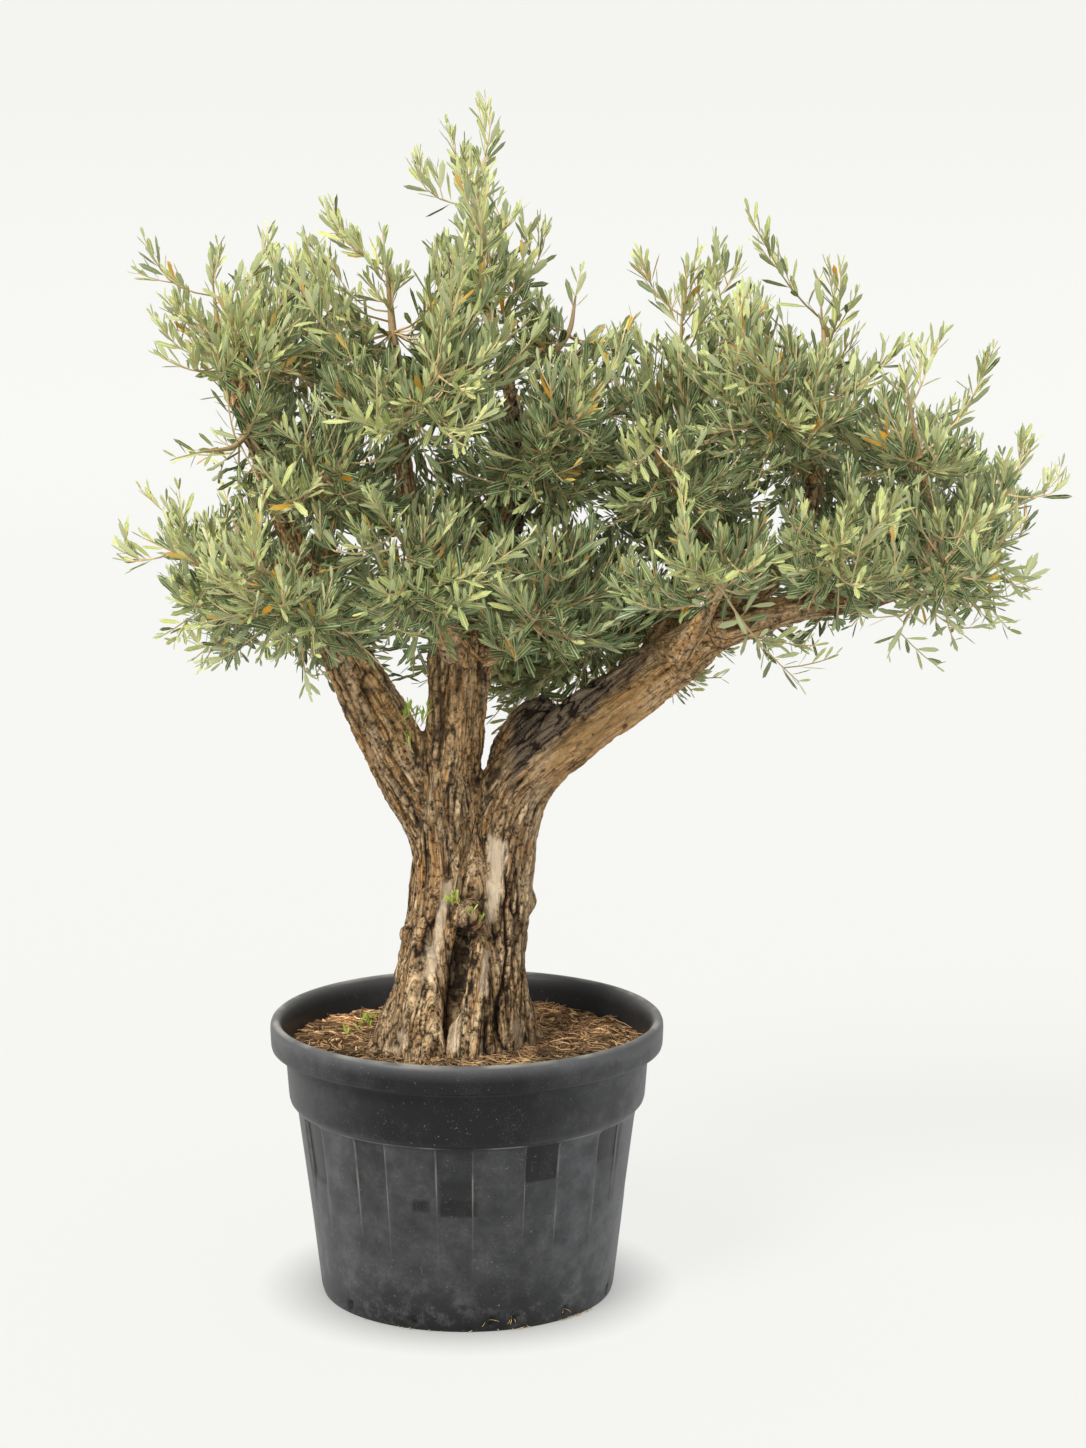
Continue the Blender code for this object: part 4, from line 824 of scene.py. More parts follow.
relief, crack = bark_relief(*spots.T, blocky[which[:, 0]], 0)
seeded, crack_two = bark_relief(*(spots.T + np.array([[0], [0], [3.7], [0]])), blocky[which[:, 0]], 50)
relief = np.bincount(which[:, 0], share * (0.75 * relief + 0.35 * seeded), minlength=count)
crack = np.bincount(which[:, 0], share * np.clip(0.8 * crack + 0.4 * crack_two, 0, 1.2), minlength=count)
grain = np.stack([np.bincount(which[:, 0], share * spots[:, i], minlength=count) for i in range(3)], axis=1)
pits = np.exp(-((noise(bare / (0.011, 0.011, 0.015), 44) - 0.75) / 0.20) ** 2) * worn
relief = relief * (1 - 0.78 * smooth_wood) - 0.0025 * pits
crack = crack * (1 - 0.80 * smooth_wood) + 0.9 * pits
twisted = noise(np.stack([bare @ (0.6, 0.2, 0.7), bare @ (0.2, 0.9, -0.1), bare @ (-0.7, 0.1, 0.6)], axis=1)
                / (0.060, 0.012, 0.010), 45)
relief = relief * (1 - 0.3 * dead) + dead * (0.0045 * np.abs(twisted) - 0.0030 * np.exp(-(twisted / 0.12) ** 2))
crack = np.maximum(crack, dead * np.exp(-(twisted / 0.16) ** 2))
warts = noise(bare / 0.0085, 46)
relief = relief * (1 + 0.3 * hidden_cleft) + burl * (0.0085 * np.abs(warts) + 0.006)
# Painted shade: the cleft and the groove round the burl are cut in and also coloured dark through the crack value.
relief = relief - 0.024 * hidden_cleft - 0.006 * beside_crack - 0.004 * burl_groove_and_shade
crack = np.maximum(crack * (1 + 0.5 * hidden_cleft), 0.66 * hidden_cleft + 0.9 * beside_crack + 0.55 * burl_groove_and_shade)
crack = np.maximum(crack, 0.75 * burl * np.exp(-(warts / 0.20) ** 2))
# Low root ridges round the foot with grooves between; the grooves are coloured dark, partly dark crevice bark and
# partly painted shade.
folds = noise(bare / (0.034, 0.034, 0.32), 48)
low_down = 1 - ease(0.44, 0.62, bare[:, 2])
relief = relief + low_down * (0.010 * np.abs(folds) - 0.009 * np.exp(-(folds / 0.10) ** 2))
crack = np.clip(np.maximum(crack, 0.85 * low_down * np.exp(-(folds / 0.10) ** 2)), 0, 1.2)
foot = 1 - ease(0.405, 0.430, bare[:, 2])
relief = relief * (1 - 0.5 * foot)
trunk.data.vertices.foreach_set("co", (bare + facing * relief[:, None]).astype(np.float32).ravel())
trunk.data.polygons.foreach_set("use_smooth", np.ones(len(trunk.data.polygons), bool))
trunk.data.update()

# The thinner limbs and the short branches that carry the boughs: the same bark on a smaller scale.
limb_parts = []
for number, (name, (sides, line)) in enumerate(WOOD.items()):
    if name not in thick_names:
        limb_parts.append((woods[name], 0.06, 1.7 * number, 0.0))

# Crown, as (name, wood that carries it, centre, half sizes). "end" in the wood's name marks its own end.
CROWN = (
    ("left_1", "left_out end", (-0.430, -0.030, 1.205), (0.130, 0.140, 0.085)),
    ("left_2", "left_out", (-0.385, 0.180, 1.240), (0.140, 0.130, 0.100)),
    ("left_3", "left_front end", (-0.290, -0.230, 1.200), (0.140, 0.130, 0.095)),
    ("left_4", "left_up", (-0.375, -0.080, 1.400), (0.130, 0.140, 0.110)),
    ("left_5", "left_back end", (-0.250, 0.250, 1.370), (0.140, 0.140, 0.120)),
    ("left_6", "left_up end", (-0.390, -0.020, 1.600), (0.130, 0.130, 0.110)),
    ("left_7", "left_up", (-0.200, -0.170, 1.370), (0.130, 0.130, 0.110)),
    ("left_8", "left_up", (-0.240, 0.120, 1.550), (0.120, 0.130, 0.120)),
    ("centre_1", "centre_left end", (-0.120, -0.020, 1.640), (0.110, 0.130, 0.110)),
    ("centre_2", "centre_front end", (-0.090, -0.240, 1.255), (0.140, 0.130, 0.100)),
    ("centre_3", "centre_left", (-0.050, -0.190, 1.490), (0.130, 0.130, 0.120)),
    ("centre_4", "centre_left", (-0.060, 0.230, 1.520), (0.140, 0.130, 0.120)),
    ("centre_5", "centre_right end", (0.020, 0.000, 1.740), (0.090, 0.100, 0.150)),
    ("centre_6", "centre_back end", (0.040, 0.290, 1.300), (0.130, 0.120, 0.110)),
    ("centre_7", "centre_spur end", (0.130, -0.180, 1.200), (0.120, 0.120, 0.090)),
    ("centre_8", "centre_right", (0.150, -0.130, 1.420), (0.120, 0.130, 0.110)),
    ("centre_9", "centre_right", (0.165, 0.130, 1.590), (0.120, 0.130, 0.110)),
    ("centre_10", "centre_back", (0.190, 0.220, 1.420), (0.120, 0.130, 0.110)),
    ("centre_11", "right_back", (0.190, 0.190, 1.130), (0.120, 0.110, 0.080)),
    ("right_1", "right_inner end", (0.350, 0.010, 1.560), (0.130, 0.130, 0.110)),
    ("right_2", "right_inner", (0.310, -0.140, 1.380), (0.120, 0.130, 0.110)),
    ("right_3", "right_back end", (0.390, 0.240, 1.330), (0.140, 0.130, 0.120)),
    ("right_4", "right_front end", (0.400, -0.250, 1.230), (0.130, 0.120, 0.090)),
    ("right_5", "right_upper", (0.490, -0.150, 1.470), (0.130, 0.130, 0.120)),
    ("right_6", "right_upper end", (0.580, 0.130, 1.560), (0.140, 0.130, 0.120)),
    ("right_7", "right_upper", (0.590, 0.270, 1.340), (0.140, 0.130, 0.110)),
    ("right_8", "right_lower", (0.580, -0.240, 1.260), (0.130, 0.130, 0.090)),
    ("right_9", "right_lower", (0.710, -0.060, 1.440), (0.130, 0.130, 0.110)),
    ("right_10", "right_lower", (0.750, 0.180, 1.330), (0.130, 0.130, 0.110)),
    ("right_11", "right_lower", (0.740, -0.210, 1.250), (0.120, 0.120, 0.085)),
    ("right_12", "right_lower end", (0.870, 0.010, 1.320), (0.110, 0.130, 0.100)),
)
BRANCH_RADIUS = (0.0105, 0.0068)
STEM_RADIUS = 0.0030
CLEAR_HEART = 0.045
GAP = 0.0003
GROWTH = 11


def unit(vector):
    """The vector at length one."""
    return vector / np.linalg.norm(vector)


def bend(start, middle, end, shares):
    """Points, at the given shares of the way, of a curve that leaves the start toward the middle."""
    t = np.asarray(shares)[:, None]
    return (1 - t) ** 2 * start + 2 * t * (1 - t) * middle + t ** 2 * end


def capsules(path, radii):
    """Round-ended rods round the parts of a path: starts, ends and radii."""
    return path[:-1], path[1:], np.maximum(radii[:-1], radii[1:])


def clearance(first, second):
    """Free distance between every two rods of two sets: that of their closest points, less both radii."""
    p, q, r = (np.asarray(v, float)[:, None] for v in first)
    u, v, w = (np.asarray(v, float)[None] for v in second)
    a_way, b_way, between = q - p, v - u, p - u
    a = (a_way ** 2).sum(-1) + 1e-12
    e = (b_way ** 2).sum(-1) + 1e-12
    b = (a_way * b_way).sum(-1)
    c = (a_way * between).sum(-1)
    f = (b_way * between).sum(-1)
    s = np.clip((b * f - c * e) / np.maximum(a * e - b * b, 1e-15), 0, 1)
    t = np.clip((b * s + f) / e, 0, 1)
    s = np.clip((b * t - c) / a, 0, 1)
    return np.linalg.norm(between + a_way * s[..., None] - b_way * t[..., None], axis=-1) - r - w


def stem_route(k, end, ahead, size):
    """A bough's stem: it goes on straight from the end of its branch, then bends up into its lobe."""
    centre, half = np.array(CROWN[k][2]), np.array(CROWN[k][3])
    start = end + ahead * GAP
    far = centre + unit(unit(centre - start) + (0, 0, 0.7)) * half * 0.45
    middle = start + ahead * np.linalg.norm(far - start) * 0.45
    path = np.concatenate([[start, start + ahead * 0.012], bend(start, middle, far, (0.5, 1.0))])
    return path, np.array([size, size * 0.95, (size + STEM_RADIUS) / 2, STEM_RADIUS])


def branch_routes(rng):
    """The short branch that carries each bough, the best of many draws: short, and clear of all the others."""
    others = [np.array(line) for _, line in WOOD.values()]
    solid_wood = [capsules(line[:, :3], line[:, 3]) for line in others]
    cores = np.array([centre for _, _, centre, _ in CROWN])
    routes, stems = [None] * len(CROWN), [None] * len(CROWN)
    for k, (_, carrier, _, _) in enumerate(CROWN):
        if carrier.endswith("end"):
            line = np.array(WOOD[carrier.split()[0]][1])
            stems[k] = stem_route(k, line[-1, :3], unit(line[-1, :3] - line[-2, :3]), line[-1, 3])
    for k, (_, carrier, centre, half) in enumerate(CROWN):
        if stems[k] is not None:
            continue
        line = np.array(WOOD[carrier][1])
        centre, half = np.array(centre), np.array(half)
        apart = np.arange(len(CROWN)) != k
        blocks = [(cores[apart], cores[apart], np.full(apart.sum(), CLEAR_HEART))]
        blocks += [capsules(*stem) for stem in stems if stem is not None]
        best = None
        for _ in range(150):
            where = rng.uniform(0.25, 0.90) * (len(line) - 1)
            i = int(where)
            start = line[i, :3] + (line[i + 1, :3] - line[i, :3]) * (where - i)
            way = unit(centre - start)
            end = centre - way * 0.58 / np.linalg.norm(way / half) + rng.uniform(-0.015, 0.015, 3)
            length = np.linalg.norm(end - start)
            if length < line[i, 3] + 0.030:
                continue
            run = unit(line[i + 1, :3] - line[i, :3])
            middle = start + (run * 0.5 + way * 0.5) * length * 0.5 + rng.uniform(-0.02, 0.02, 3)
            path, size = bend(start, middle, end, (0, 0.5, 1.0)), np.linspace(*BRANCH_RADIUS, 3)
            stem = stem_route(k, end, unit(path[-1] - path[-2]), size[-1])
            free = min(clearance(capsules(path, size), block).min() for block in blocks)
            free = min(free, *(clearance(capsules(stem[0][1:], stem[1][1:]), block).min()
                               for block in blocks + solid_wood))
            score = 10 * min(free, 0.003) - 0.10 * length
            if best is None or score > best[0]:
                best = (score, path, size, stem)
        routes[k], stems[k] = best[1:3], best[3]
    return routes, stems


growth = np.random.default_rng(GROWTH)
branches, stems = branch_routes(growth)
for number, route in enumerate(branches):
    if route is not None:
        line = np.column_stack(route)
        limb_parts.append((grown(line, BARK_STEP * 1.5), 0.05, 0.9 * number, 0.45))

points, quads, caps, cracks, grains = [], [], [], [], []
for number, (wood, flute, phase, collar) in enumerate(limb_parts):
    sides = 24 if wood["radius"].max() > 0.02 else 14
    surface, spokes, turns = log_surface(wood, sides, flute, phase, collar)
    across = np.linalg.norm(surface - wood["middle"][:, None], axis=2)
    x, y = (across * np.cos(turns)).ravel(), (across * np.sin(turns)).ravel()
    s = np.repeat(wood["walked"], sides)
    relief, crack_limb = bark_relief(x, y, s + 1.3 * number, np.repeat(wood["radius"], sides), 0.12, 70 + number)
    calm = 1 - ease(wood["walked"][-1] - 0.03, wood["walked"][-1], s)
    surface = surface + spokes * (0.9 * relief * calm).reshape(-1, sides, 1)
    start = sum(map(len, points))
    log_points, log_quads, log_caps = closed_log(surface, wood)
    points.append(log_points)
    quads.append(log_quads + start)
    caps.append(log_caps + start)
    stout = np.clip(np.repeat(wood["radius"], sides) / 0.030, 0.45, 0.9)
    cracks.append(np.concatenate([crack_limb * calm * stout, [0.5, 0.5]]))
    grains.append(np.concatenate([np.stack([x, y, s + 1.3 * number], axis=1), np.zeros((2, 3))]))

# Olive bark: tan and grey plates over dark cracks, matt and stringy. Bare wood is smooth, pale and a little
# polished by the weather. Dead wood is dark grey-brown with silvery fibres.
bark, shader = finish("weathered olive bark", 0.86, 1.45)
shader.inputs["Specular IOR Level"].default_value = 0.25
place = add(bark, "ShaderNodeTexCoord").outputs["Object"]
lie = add(bark, "ShaderNodeAttribute", attribute_name="grain").outputs["Vector"]
cracked = add(bark, "ShaderNodeAttribute", attribute_name="crack").outputs["Fac"]
bare_share = add(bark, "ShaderNodeAttribute", attribute_name="bare").outputs["Fac"]
dead_share = add(bark, "ShaderNodeAttribute", attribute_name="dead").outputs["Fac"]
drawn = add(bark, "ShaderNodeMapping", {"Vector": lie, "Scale": (1.0, 1.0, 0.12)})
fibres = add(bark, "ShaderNodeTexNoise", {"Vector": drawn.outputs[0], "Scale": 330.0, "Detail": 5.0, "Roughness": 0.65})
strings = add(bark, "ShaderNodeTexNoise", {"Vector": drawn.outputs[0], "Scale": 95.0, "Detail": 4.0, "Roughness": 0.6})
flakes = add(bark, "ShaderNodeTexNoise", {"Vector": place, "Scale": 120.0, "Detail": 5.0, "Roughness": 0.7})
blotches = add(bark, "ShaderNodeTexNoise", {"Vector": place, "Scale": 11.0, "Detail": 4.0, "Roughness": 0.6})
curl = add(bark, "ShaderNodeTexNoise", {"Vector": drawn.outputs[0], "Scale": 60.0, "Detail": 2.0})
curl_by = add(bark, "ShaderNodeVectorMath", {0: curl.outputs["Color"], 1: (0.020, 0.020, 0.020)}, operation="MULTIPLY")
curled = add(bark, "ShaderNodeVectorMath", {0: lie, 1: curl_by.outputs[0]}, operation="ADD")
plate_lie = add(bark, "ShaderNodeMapping", {"Vector": curled.outputs[0], "Scale": (1.0, 1.0, 0.22)})
wide_plates = add(bark, "ShaderNodeTexVoronoi", {
    "Vector": plate_lie.outputs[0], "Scale": 62.0,
}, feature="DISTANCE_TO_EDGE")
small_plates = add(bark, "ShaderNodeTexVoronoi", {
    "Vector": plate_lie.outputs[0], "Scale": 150.0,
}, feature="DISTANCE_TO_EDGE")
long_lie = add(bark, "ShaderNodeMapping", {"Vector": curled.outputs[0], "Scale": (1.0, 1.0, 0.10)})
long_plates = add(bark, "ShaderNodeTexVoronoi", {
    "Vector": long_lie.outputs[0], "Scale": 33.0,
}, feature="DISTANCE_TO_EDGE")
long_gap = add(bark, "ShaderNodeMapRange", {
    "Value": long_plates.outputs["Distance"], "From Min": 0.015, "From Max": 0.090, "To Min": 1.0, "To Max": 0.0,
})
wide_gap = add(bark, "ShaderNodeMapRange", {
    "Value": wide_plates.outputs["Distance"], "From Min": 0.02, "From Max": 0.12, "To Min": 0.96, "To Max": 0.0,
})
small_gap = add(bark, "ShaderNodeMapRange", {
    "Value": small_plates.outputs["Distance"], "From Min": 0.03, "From Max": 0.13, "To Min": 0.60, "To Max": 0.0,
})
gap_fine = add(bark, "ShaderNodeMath", {0: wide_gap.outputs[0], 1: small_gap.outputs[0]}, operation="MAXIMUM")
gap_where = add(bark, "ShaderNodeMapRange", {
    "Value": flakes.outputs["Fac"], "From Min": 0.40, "From Max": 0.60, "To Min": 1.0, "To Max": 0.35,
})
gap_some = add(bark, "ShaderNodeMath", {0: gap_fine.outputs[0], 1: gap_where.outputs[0]}, operation="MULTIPLY")
long_where = add(bark, "ShaderNodeMapRange", {
    "Value": blotches.outputs["Fac"], "From Min": 0.38, "From Max": 0.56, "To Min": 0.25, "To Max": 1.0,
})
long_some = add(bark, "ShaderNodeMath", {0: long_gap.outputs[0], 1: long_where.outputs[0]}, operation="MULTIPLY")
plate_gap = add(bark, "ShaderNodeMath", {0: gap_some.outputs[0], 1: long_some.outputs[0]}, operation="MAXIMUM")
gap_most = add(bark, "ShaderNodeMath", {0: gap_fine.outputs[0], 1: long_some.outputs[0]}, operation="ADD")
warm = add(bark, "ShaderNodeMapRange", {
    "Value": blotches.outputs["Fac"], "From Min": 0.36, "From Max": 0.64, "To Min": 0.0, "To Max": 1.0,
})
high_up = add(bark, "ShaderNodeSeparateXYZ", {0: place})
grey_low = add(bark, "ShaderNodeMapRange", {
    "Value": high_up.outputs["Z"], "From Min": 0.45, "From Max": 0.85, "To Min": -0.35, "To Max": 0.25,
})
warmth = add(bark, "ShaderNodeMath", {0: warm.outputs[0], 1: grey_low.outputs[0]}, operation="ADD", use_clamp=True)
old_body = add(bark, "ShaderNodeMix", {
    "Factor": warmth.outputs[0], 6: linear("#a38460"), 7: linear("#be8f5a"),
}, data_type="RGBA")
# Up the limbs the bark is mixed toward a light tan: partly smoother young bark, partly painted light against the
# crown's shade.
limb_tan_and_light = add(bark, "ShaderNodeMapRange", {
    "Value": high_up.outputs["Z"], "From Min": 0.80, "From Max": 0.96, "To Min": 0.0, "To Max": 0.85,
})
calm_limb = add(bark, "ShaderNodeMapRange", {
    "Value": high_up.outputs["Z"], "From Min": 0.76, "From Max": 0.94, "To Min": 1.0, "To Max": 0.78,
})
body = add(bark, "ShaderNodeMix", {
    "Factor": limb_tan_and_light.outputs[0], 6: old_body.outputs[2], 7: linear("#ecba7c"),
}, data_type="RGBA")
pale = add(bark, "ShaderNodeMapRange", {
    "Value": strings.outputs["Fac"], "From Min": 0.42, "From Max": 0.64, "To Min": 0.0, "To Max": 0.90,
})
plates = add(bark, "ShaderNodeMix", {
    "Factor": pale.outputs[0], 6: body.outputs[2], 7: linear("#eed2a8"),
}, data_type="RGBA")
dark_flake = add(bark, "ShaderNodeMapRange", {
    "Value": flakes.outputs["Fac"], "From Min": 0.49, "From Max": 0.37, "To Min": 0.0, "To Max": 0.90,
})
flake_share = add(bark, "ShaderNodeMath", {0: dark_flake.outputs[0], 1: calm_limb.outputs[0]}, operation="MULTIPLY")
flaked = add(bark, "ShaderNodeMix", {
    "Factor": flake_share.outputs[0], 6: plates.outputs[2], 7: linear("#47331f"),
}, data_type="RGBA")
deep = add(bark, "ShaderNodeMapRange", {
    "Value": cracked, "From Min": 0.24, "From Max": 0.78, "To Min": 0.0, "To Max": 0.95,
})
gap_share = add(bark, "ShaderNodeMath", {0: plate_gap.outputs[0], 1: calm_limb.outputs[0]}, operation="MULTIPLY")
gapped = add(bark, "ShaderNodeMix", {
    "Factor": gap_share.outputs[0], 6: flaked.outputs[2], 7: linear("#281c12"),
}, data_type="RGBA")
deep_share = add(bark, "ShaderNodeMath", {0: deep.outputs[0], 1: calm_limb.outputs[0]}, operation="MULTIPLY")
split = add(bark, "ShaderNodeMix", {
    "Factor": deep_share.outputs[0], 6: gapped.outputs[2], 7: linear("#1d140b"),
}, data_type="RGBA")
figure = add(bark, "ShaderNodeMix", {
    "Factor": strings.outputs["Fac"], 6: linear("#b8a387"), 7: linear("#e2d3bb"),
}, data_type="RGBA")
figured = add(bark, "ShaderNodeMix", {"Factor": deep.outputs[0], 6: figure.outputs[2], 7: linear("#5b452f")}, data_type="RGBA")
tan_share = add(bark, "ShaderNodeMapRange", {
    "Value": high_up.outputs["X"], "From Min": 0.07, "From Max": 0.15, "To Min": 0.0, "To Max": 1.0,
})
tanned = add(bark, "ShaderNodeMix", {
    "Factor": tan_share.outputs[0], 6: figured.outputs[2], 7: linear("#d8b98a"),
}, data_type="RGBA", blend_type="MULTIPLY")
peeled = add(bark, "ShaderNodeMix", {
    "Factor": bare_share, 6: split.outputs[2], 7: tanned.outputs[2],
}, data_type="RGBA")
silver = add(bark, "ShaderNodeMix", {
    "Factor": strings.outputs["Fac"], 6: linear("#55463a"), 7: linear("#a5937c"),
}, data_type="RGBA")
silver_dark = add(bark, "ShaderNodeMix", {"Factor": deep.outputs[0], 6: silver.outputs[2], 7: linear("#241b14")}, data_type="RGBA")
weathered = add(bark, "ShaderNodeMix", {
    "Factor": dead_share, 6: peeled.outputs[2], 7: silver_dark.outputs[2],
}, data_type="RGBA")
bark.node_tree.links.new(weathered.outputs[2], shader.inputs["Base Color"])
gloss = add(bark, "ShaderNodeMapRange", {
    "Value": bare_share, "From Min": 0.0, "From Max": 1.0, "To Min": 0.92, "To Max": 0.62,
})
bark.node_tree.links.new(gloss.outputs[0], shader.inputs["Roughness"])
flat_share = add(bark, "ShaderNodeMapRange", {
    "Value": bare_share, "From Min": 0.0, "From Max": 1.0, "To Min": 1.0, "To Max": 0.25,
})
stringy = add(bark, "ShaderNodeMath", {0: fibres.outputs["Fac"], 1: strings.outputs["Fac"]}, operation="ADD")
rough_all = add(bark, "ShaderNodeMath", {0: stringy.outputs[0], 1: flakes.outputs["Fac"]}, operation="ADD")
sunk = add(bark, "ShaderNodeMath", {0: rough_all.outputs[0], 1: gap_most.outputs[0]}, operation="SUBTRACT")
relief_share = add(bark, "ShaderNodeMath", {0: sunk.outputs[0], 1: flat_share.outputs[0]}, operation="MULTIPLY")
bark_bump = add(bark, "ShaderNodeBump", {"Height": relief_share.outputs[0], "Strength": 1.0, "Distance": 0.0034})
bark.node_tree.links.new(bark_bump.outputs["Normal"], shader.inputs["Normal"])

trunk.data.materials.append(bark)
note(trunk, "crack", crack)
note(trunk, "grain", grain)
note(trunk, "bare", smooth_wood)
note(trunk, "dead", dead)
limbs = put("limbs_and_branches", np.concatenate(points), [np.concatenate(quads), np.concatenate(caps)], [bark])
note(limbs, "crack", np.concatenate(cracks))
note(limbs, "grain", np.concatenate(grains))
note(limbs, "bare", np.zeros(len(limbs.data.vertices)))
note(limbs, "dead", np.zeros(len(limbs.data.vertices)))
for made in (trunk, limbs):
    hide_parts("trunk")
    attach(made, "root")

# Leafy boughs: each stem goes on from the end of its branch and carries long straight shoots, which carry
# short side shoots. Leaves stand in crossed pairs, leaning up the shoot. A few shoots reach past the rest.
TIPS = (
    (0.045, 0.00, 1.938), (-0.093, -0.02, 1.866), (-0.220, 0.03, 1.800), (-0.141, -0.06, 1.702),
    (-0.498, -0.04, 1.717), (-0.458, -0.10, 1.520), (-0.507, 0.08, 1.310), (-0.575, -0.02, 1.244),
    (-0.487, -0.08, 1.085), (0.153, 0.04, 1.749), (0.272, 0.02, 1.717), (0.407, 0.00, 1.725),
    (0.472, 0.06, 1.748), (0.605, 0.02, 1.702), (0.751, -0.02, 1.583), (0.847, 0.00, 1.544),
    (0.906, 0.03, 1.416), (0.985, 0.00, 1.347), (0.929, 0.04, 1.142), (0.543, -0.10, 1.016),
    (-0.300, -0.42, 1.330), (0.020, -0.40, 1.420), (0.330, -0.43, 1.330), (0.640, -0.41, 1.360),
    (-0.180, 0.44, 1.500), (0.160, 0.45, 1.430), (0.480, 0.44, 1.440), (0.760, 0.36, 1.430),
)
# Lesser shoots that stand out of the outline, up or hanging
MORE_TIPS = (
    (-0.026, 0.02, 1.912), (-0.188, -0.03, 1.752), (-0.295, 0.04, 1.752), (-0.396, -0.05, 1.716),
    (-0.436, 0.06, 1.550), (-0.480, 0.00, 1.640), (-0.411, 0.05, 1.357), (0.084, -0.03, 1.761),
    (0.322, 0.05, 1.637), (0.351, -0.04, 1.707), (0.696, 0.05, 1.560), (0.446, -0.05, 1.720),
    (0.385, 0.05, 0.980), (0.401, 0.10, 0.985), (0.450, 0.05, 1.050), (0.668, -0.08, 1.054),
    (0.723, 0.03, 1.104), (0.787, -0.05, 1.075), (0.856, 0.06, 1.094), (-0.432, 0.04, 1.018),
    (-0.243, -0.10, 0.999), (0.10, 0.20, 0.960), (0.20, 0.26, 0.950), (0.28, 0.22, 0.975),
    (0.15, 0.12, 0.985), (0.06, 0.24, 0.990), (0.04, 0.17, 0.985), (0.075, 0.21, 0.965),
    (0.105, 0.14, 0.960), (0.13, 0.24, 0.945), (-0.500, -0.03, 1.590), (-0.455, 0.04, 1.600),
    (0.200, 0.05, 1.330), (0.235, 0.10, 1.300), (0.260, -0.05, 1.275), (0.200, -0.08, 1.280),
    (0.240, 0.00, 1.350), (0.360, 0.08, 0.995), (0.150, 0.02, 1.290), (0.300, 0.06, 1.250),
    (0.030, 0.13, 0.955), (0.052, 0.17, 0.945), (0.070, 0.11, 0.985), (0.026, 0.20, 0.965),
    (0.048, 0.10, 1.010), (0.088, 0.18, 0.985), (0.020, 0.15, 1.000), (0.062, 0.15, 0.930),
    (-0.130, -0.03, 1.640), (-0.108, 0.02, 1.670), (-0.100, -0.05, 1.620), (-0.150, 0.02, 1.650),
    (0.040, 0.10, 0.905), (0.052, 0.14, 0.890), (0.030, 0.16, 0.915), (0.062, 0.12, 0.930),
)
# Outline of the leafy mass as seen from the front, as (x, z), and the lowest that leaves hang before the wood
MASS = (
    (-0.508, 1.215), (-0.508, 1.290), (-0.470, 1.305), (-0.420, 1.290), (-0.375, 1.325), (-0.350, 1.370),
    (-0.350, 1.450), (-0.385, 1.510), (-0.440, 1.560), (-0.450, 1.620), (-0.400, 1.645), (-0.330, 1.700),
    (-0.258, 1.735), (-0.230, 1.735), (-0.205, 1.650), (-0.170, 1.590), (-0.130, 1.555), (-0.095, 1.545),
    (-0.072, 1.590), (-0.070, 1.750), (-0.040, 1.800), (-0.010, 1.860), (0.025, 1.870), (0.036, 1.770),
    (0.080, 1.715), (0.125, 1.640), (0.165, 1.585), (0.205, 1.570), (0.243, 1.575), (0.270, 1.630),
    (0.312, 1.560), (0.365, 1.600), (0.392, 1.670), (0.440, 1.690), (0.475, 1.668), (0.510, 1.600),
    (0.560, 1.590), (0.600, 1.610), (0.640, 1.590), (0.665, 1.520), (0.735, 1.515), (0.790, 1.470),
    (0.840, 1.420), (0.890, 1.400), (0.915, 1.320), (0.945, 1.300), (0.905, 1.275), (0.865, 1.215),
    (0.880, 1.150), (0.800, 1.135), (0.700, 1.155), (0.655, 1.110), (0.600, 1.105), (0.550, 1.060),
    (0.470, 1.070), (0.400, 1.060), (0.350, 0.985), (0.290, 0.955), (0.200, 0.955), (0.060, 0.965),
    (-0.040, 1.000), (-0.130, 1.020), (-0.240, 1.030), (-0.330, 1.085), (-0.430, 1.062), (-0.455, 1.130),
)
HANG = (
    (-0.60, 1.05), (-0.25, 1.04), (-0.20, 1.075), (-0.10, 1.055), (-0.04, 1.095), (0.06, 1.095),
    (0.12, 1.020), (0.22, 1.045), (0.30, 1.110), (0.38, 1.170), (0.46, 1.190), (0.55, 1.140), (0.70, 1.110), (0.98, 1.08),
)
ENDS_TRIED = 110
APART = 0.059
LOBE_REACH = (0.50, 1.38)
INSET = 0.024
SIDE_SHOOTS = 3
LEAF_GAP = 0.0205
LEAF_LENGTH = (0.036, 0.054)
LEAF_THICK = 0.0009
LEAF_RINGS = ((0.36, 0.80), (0.79, 0.90))


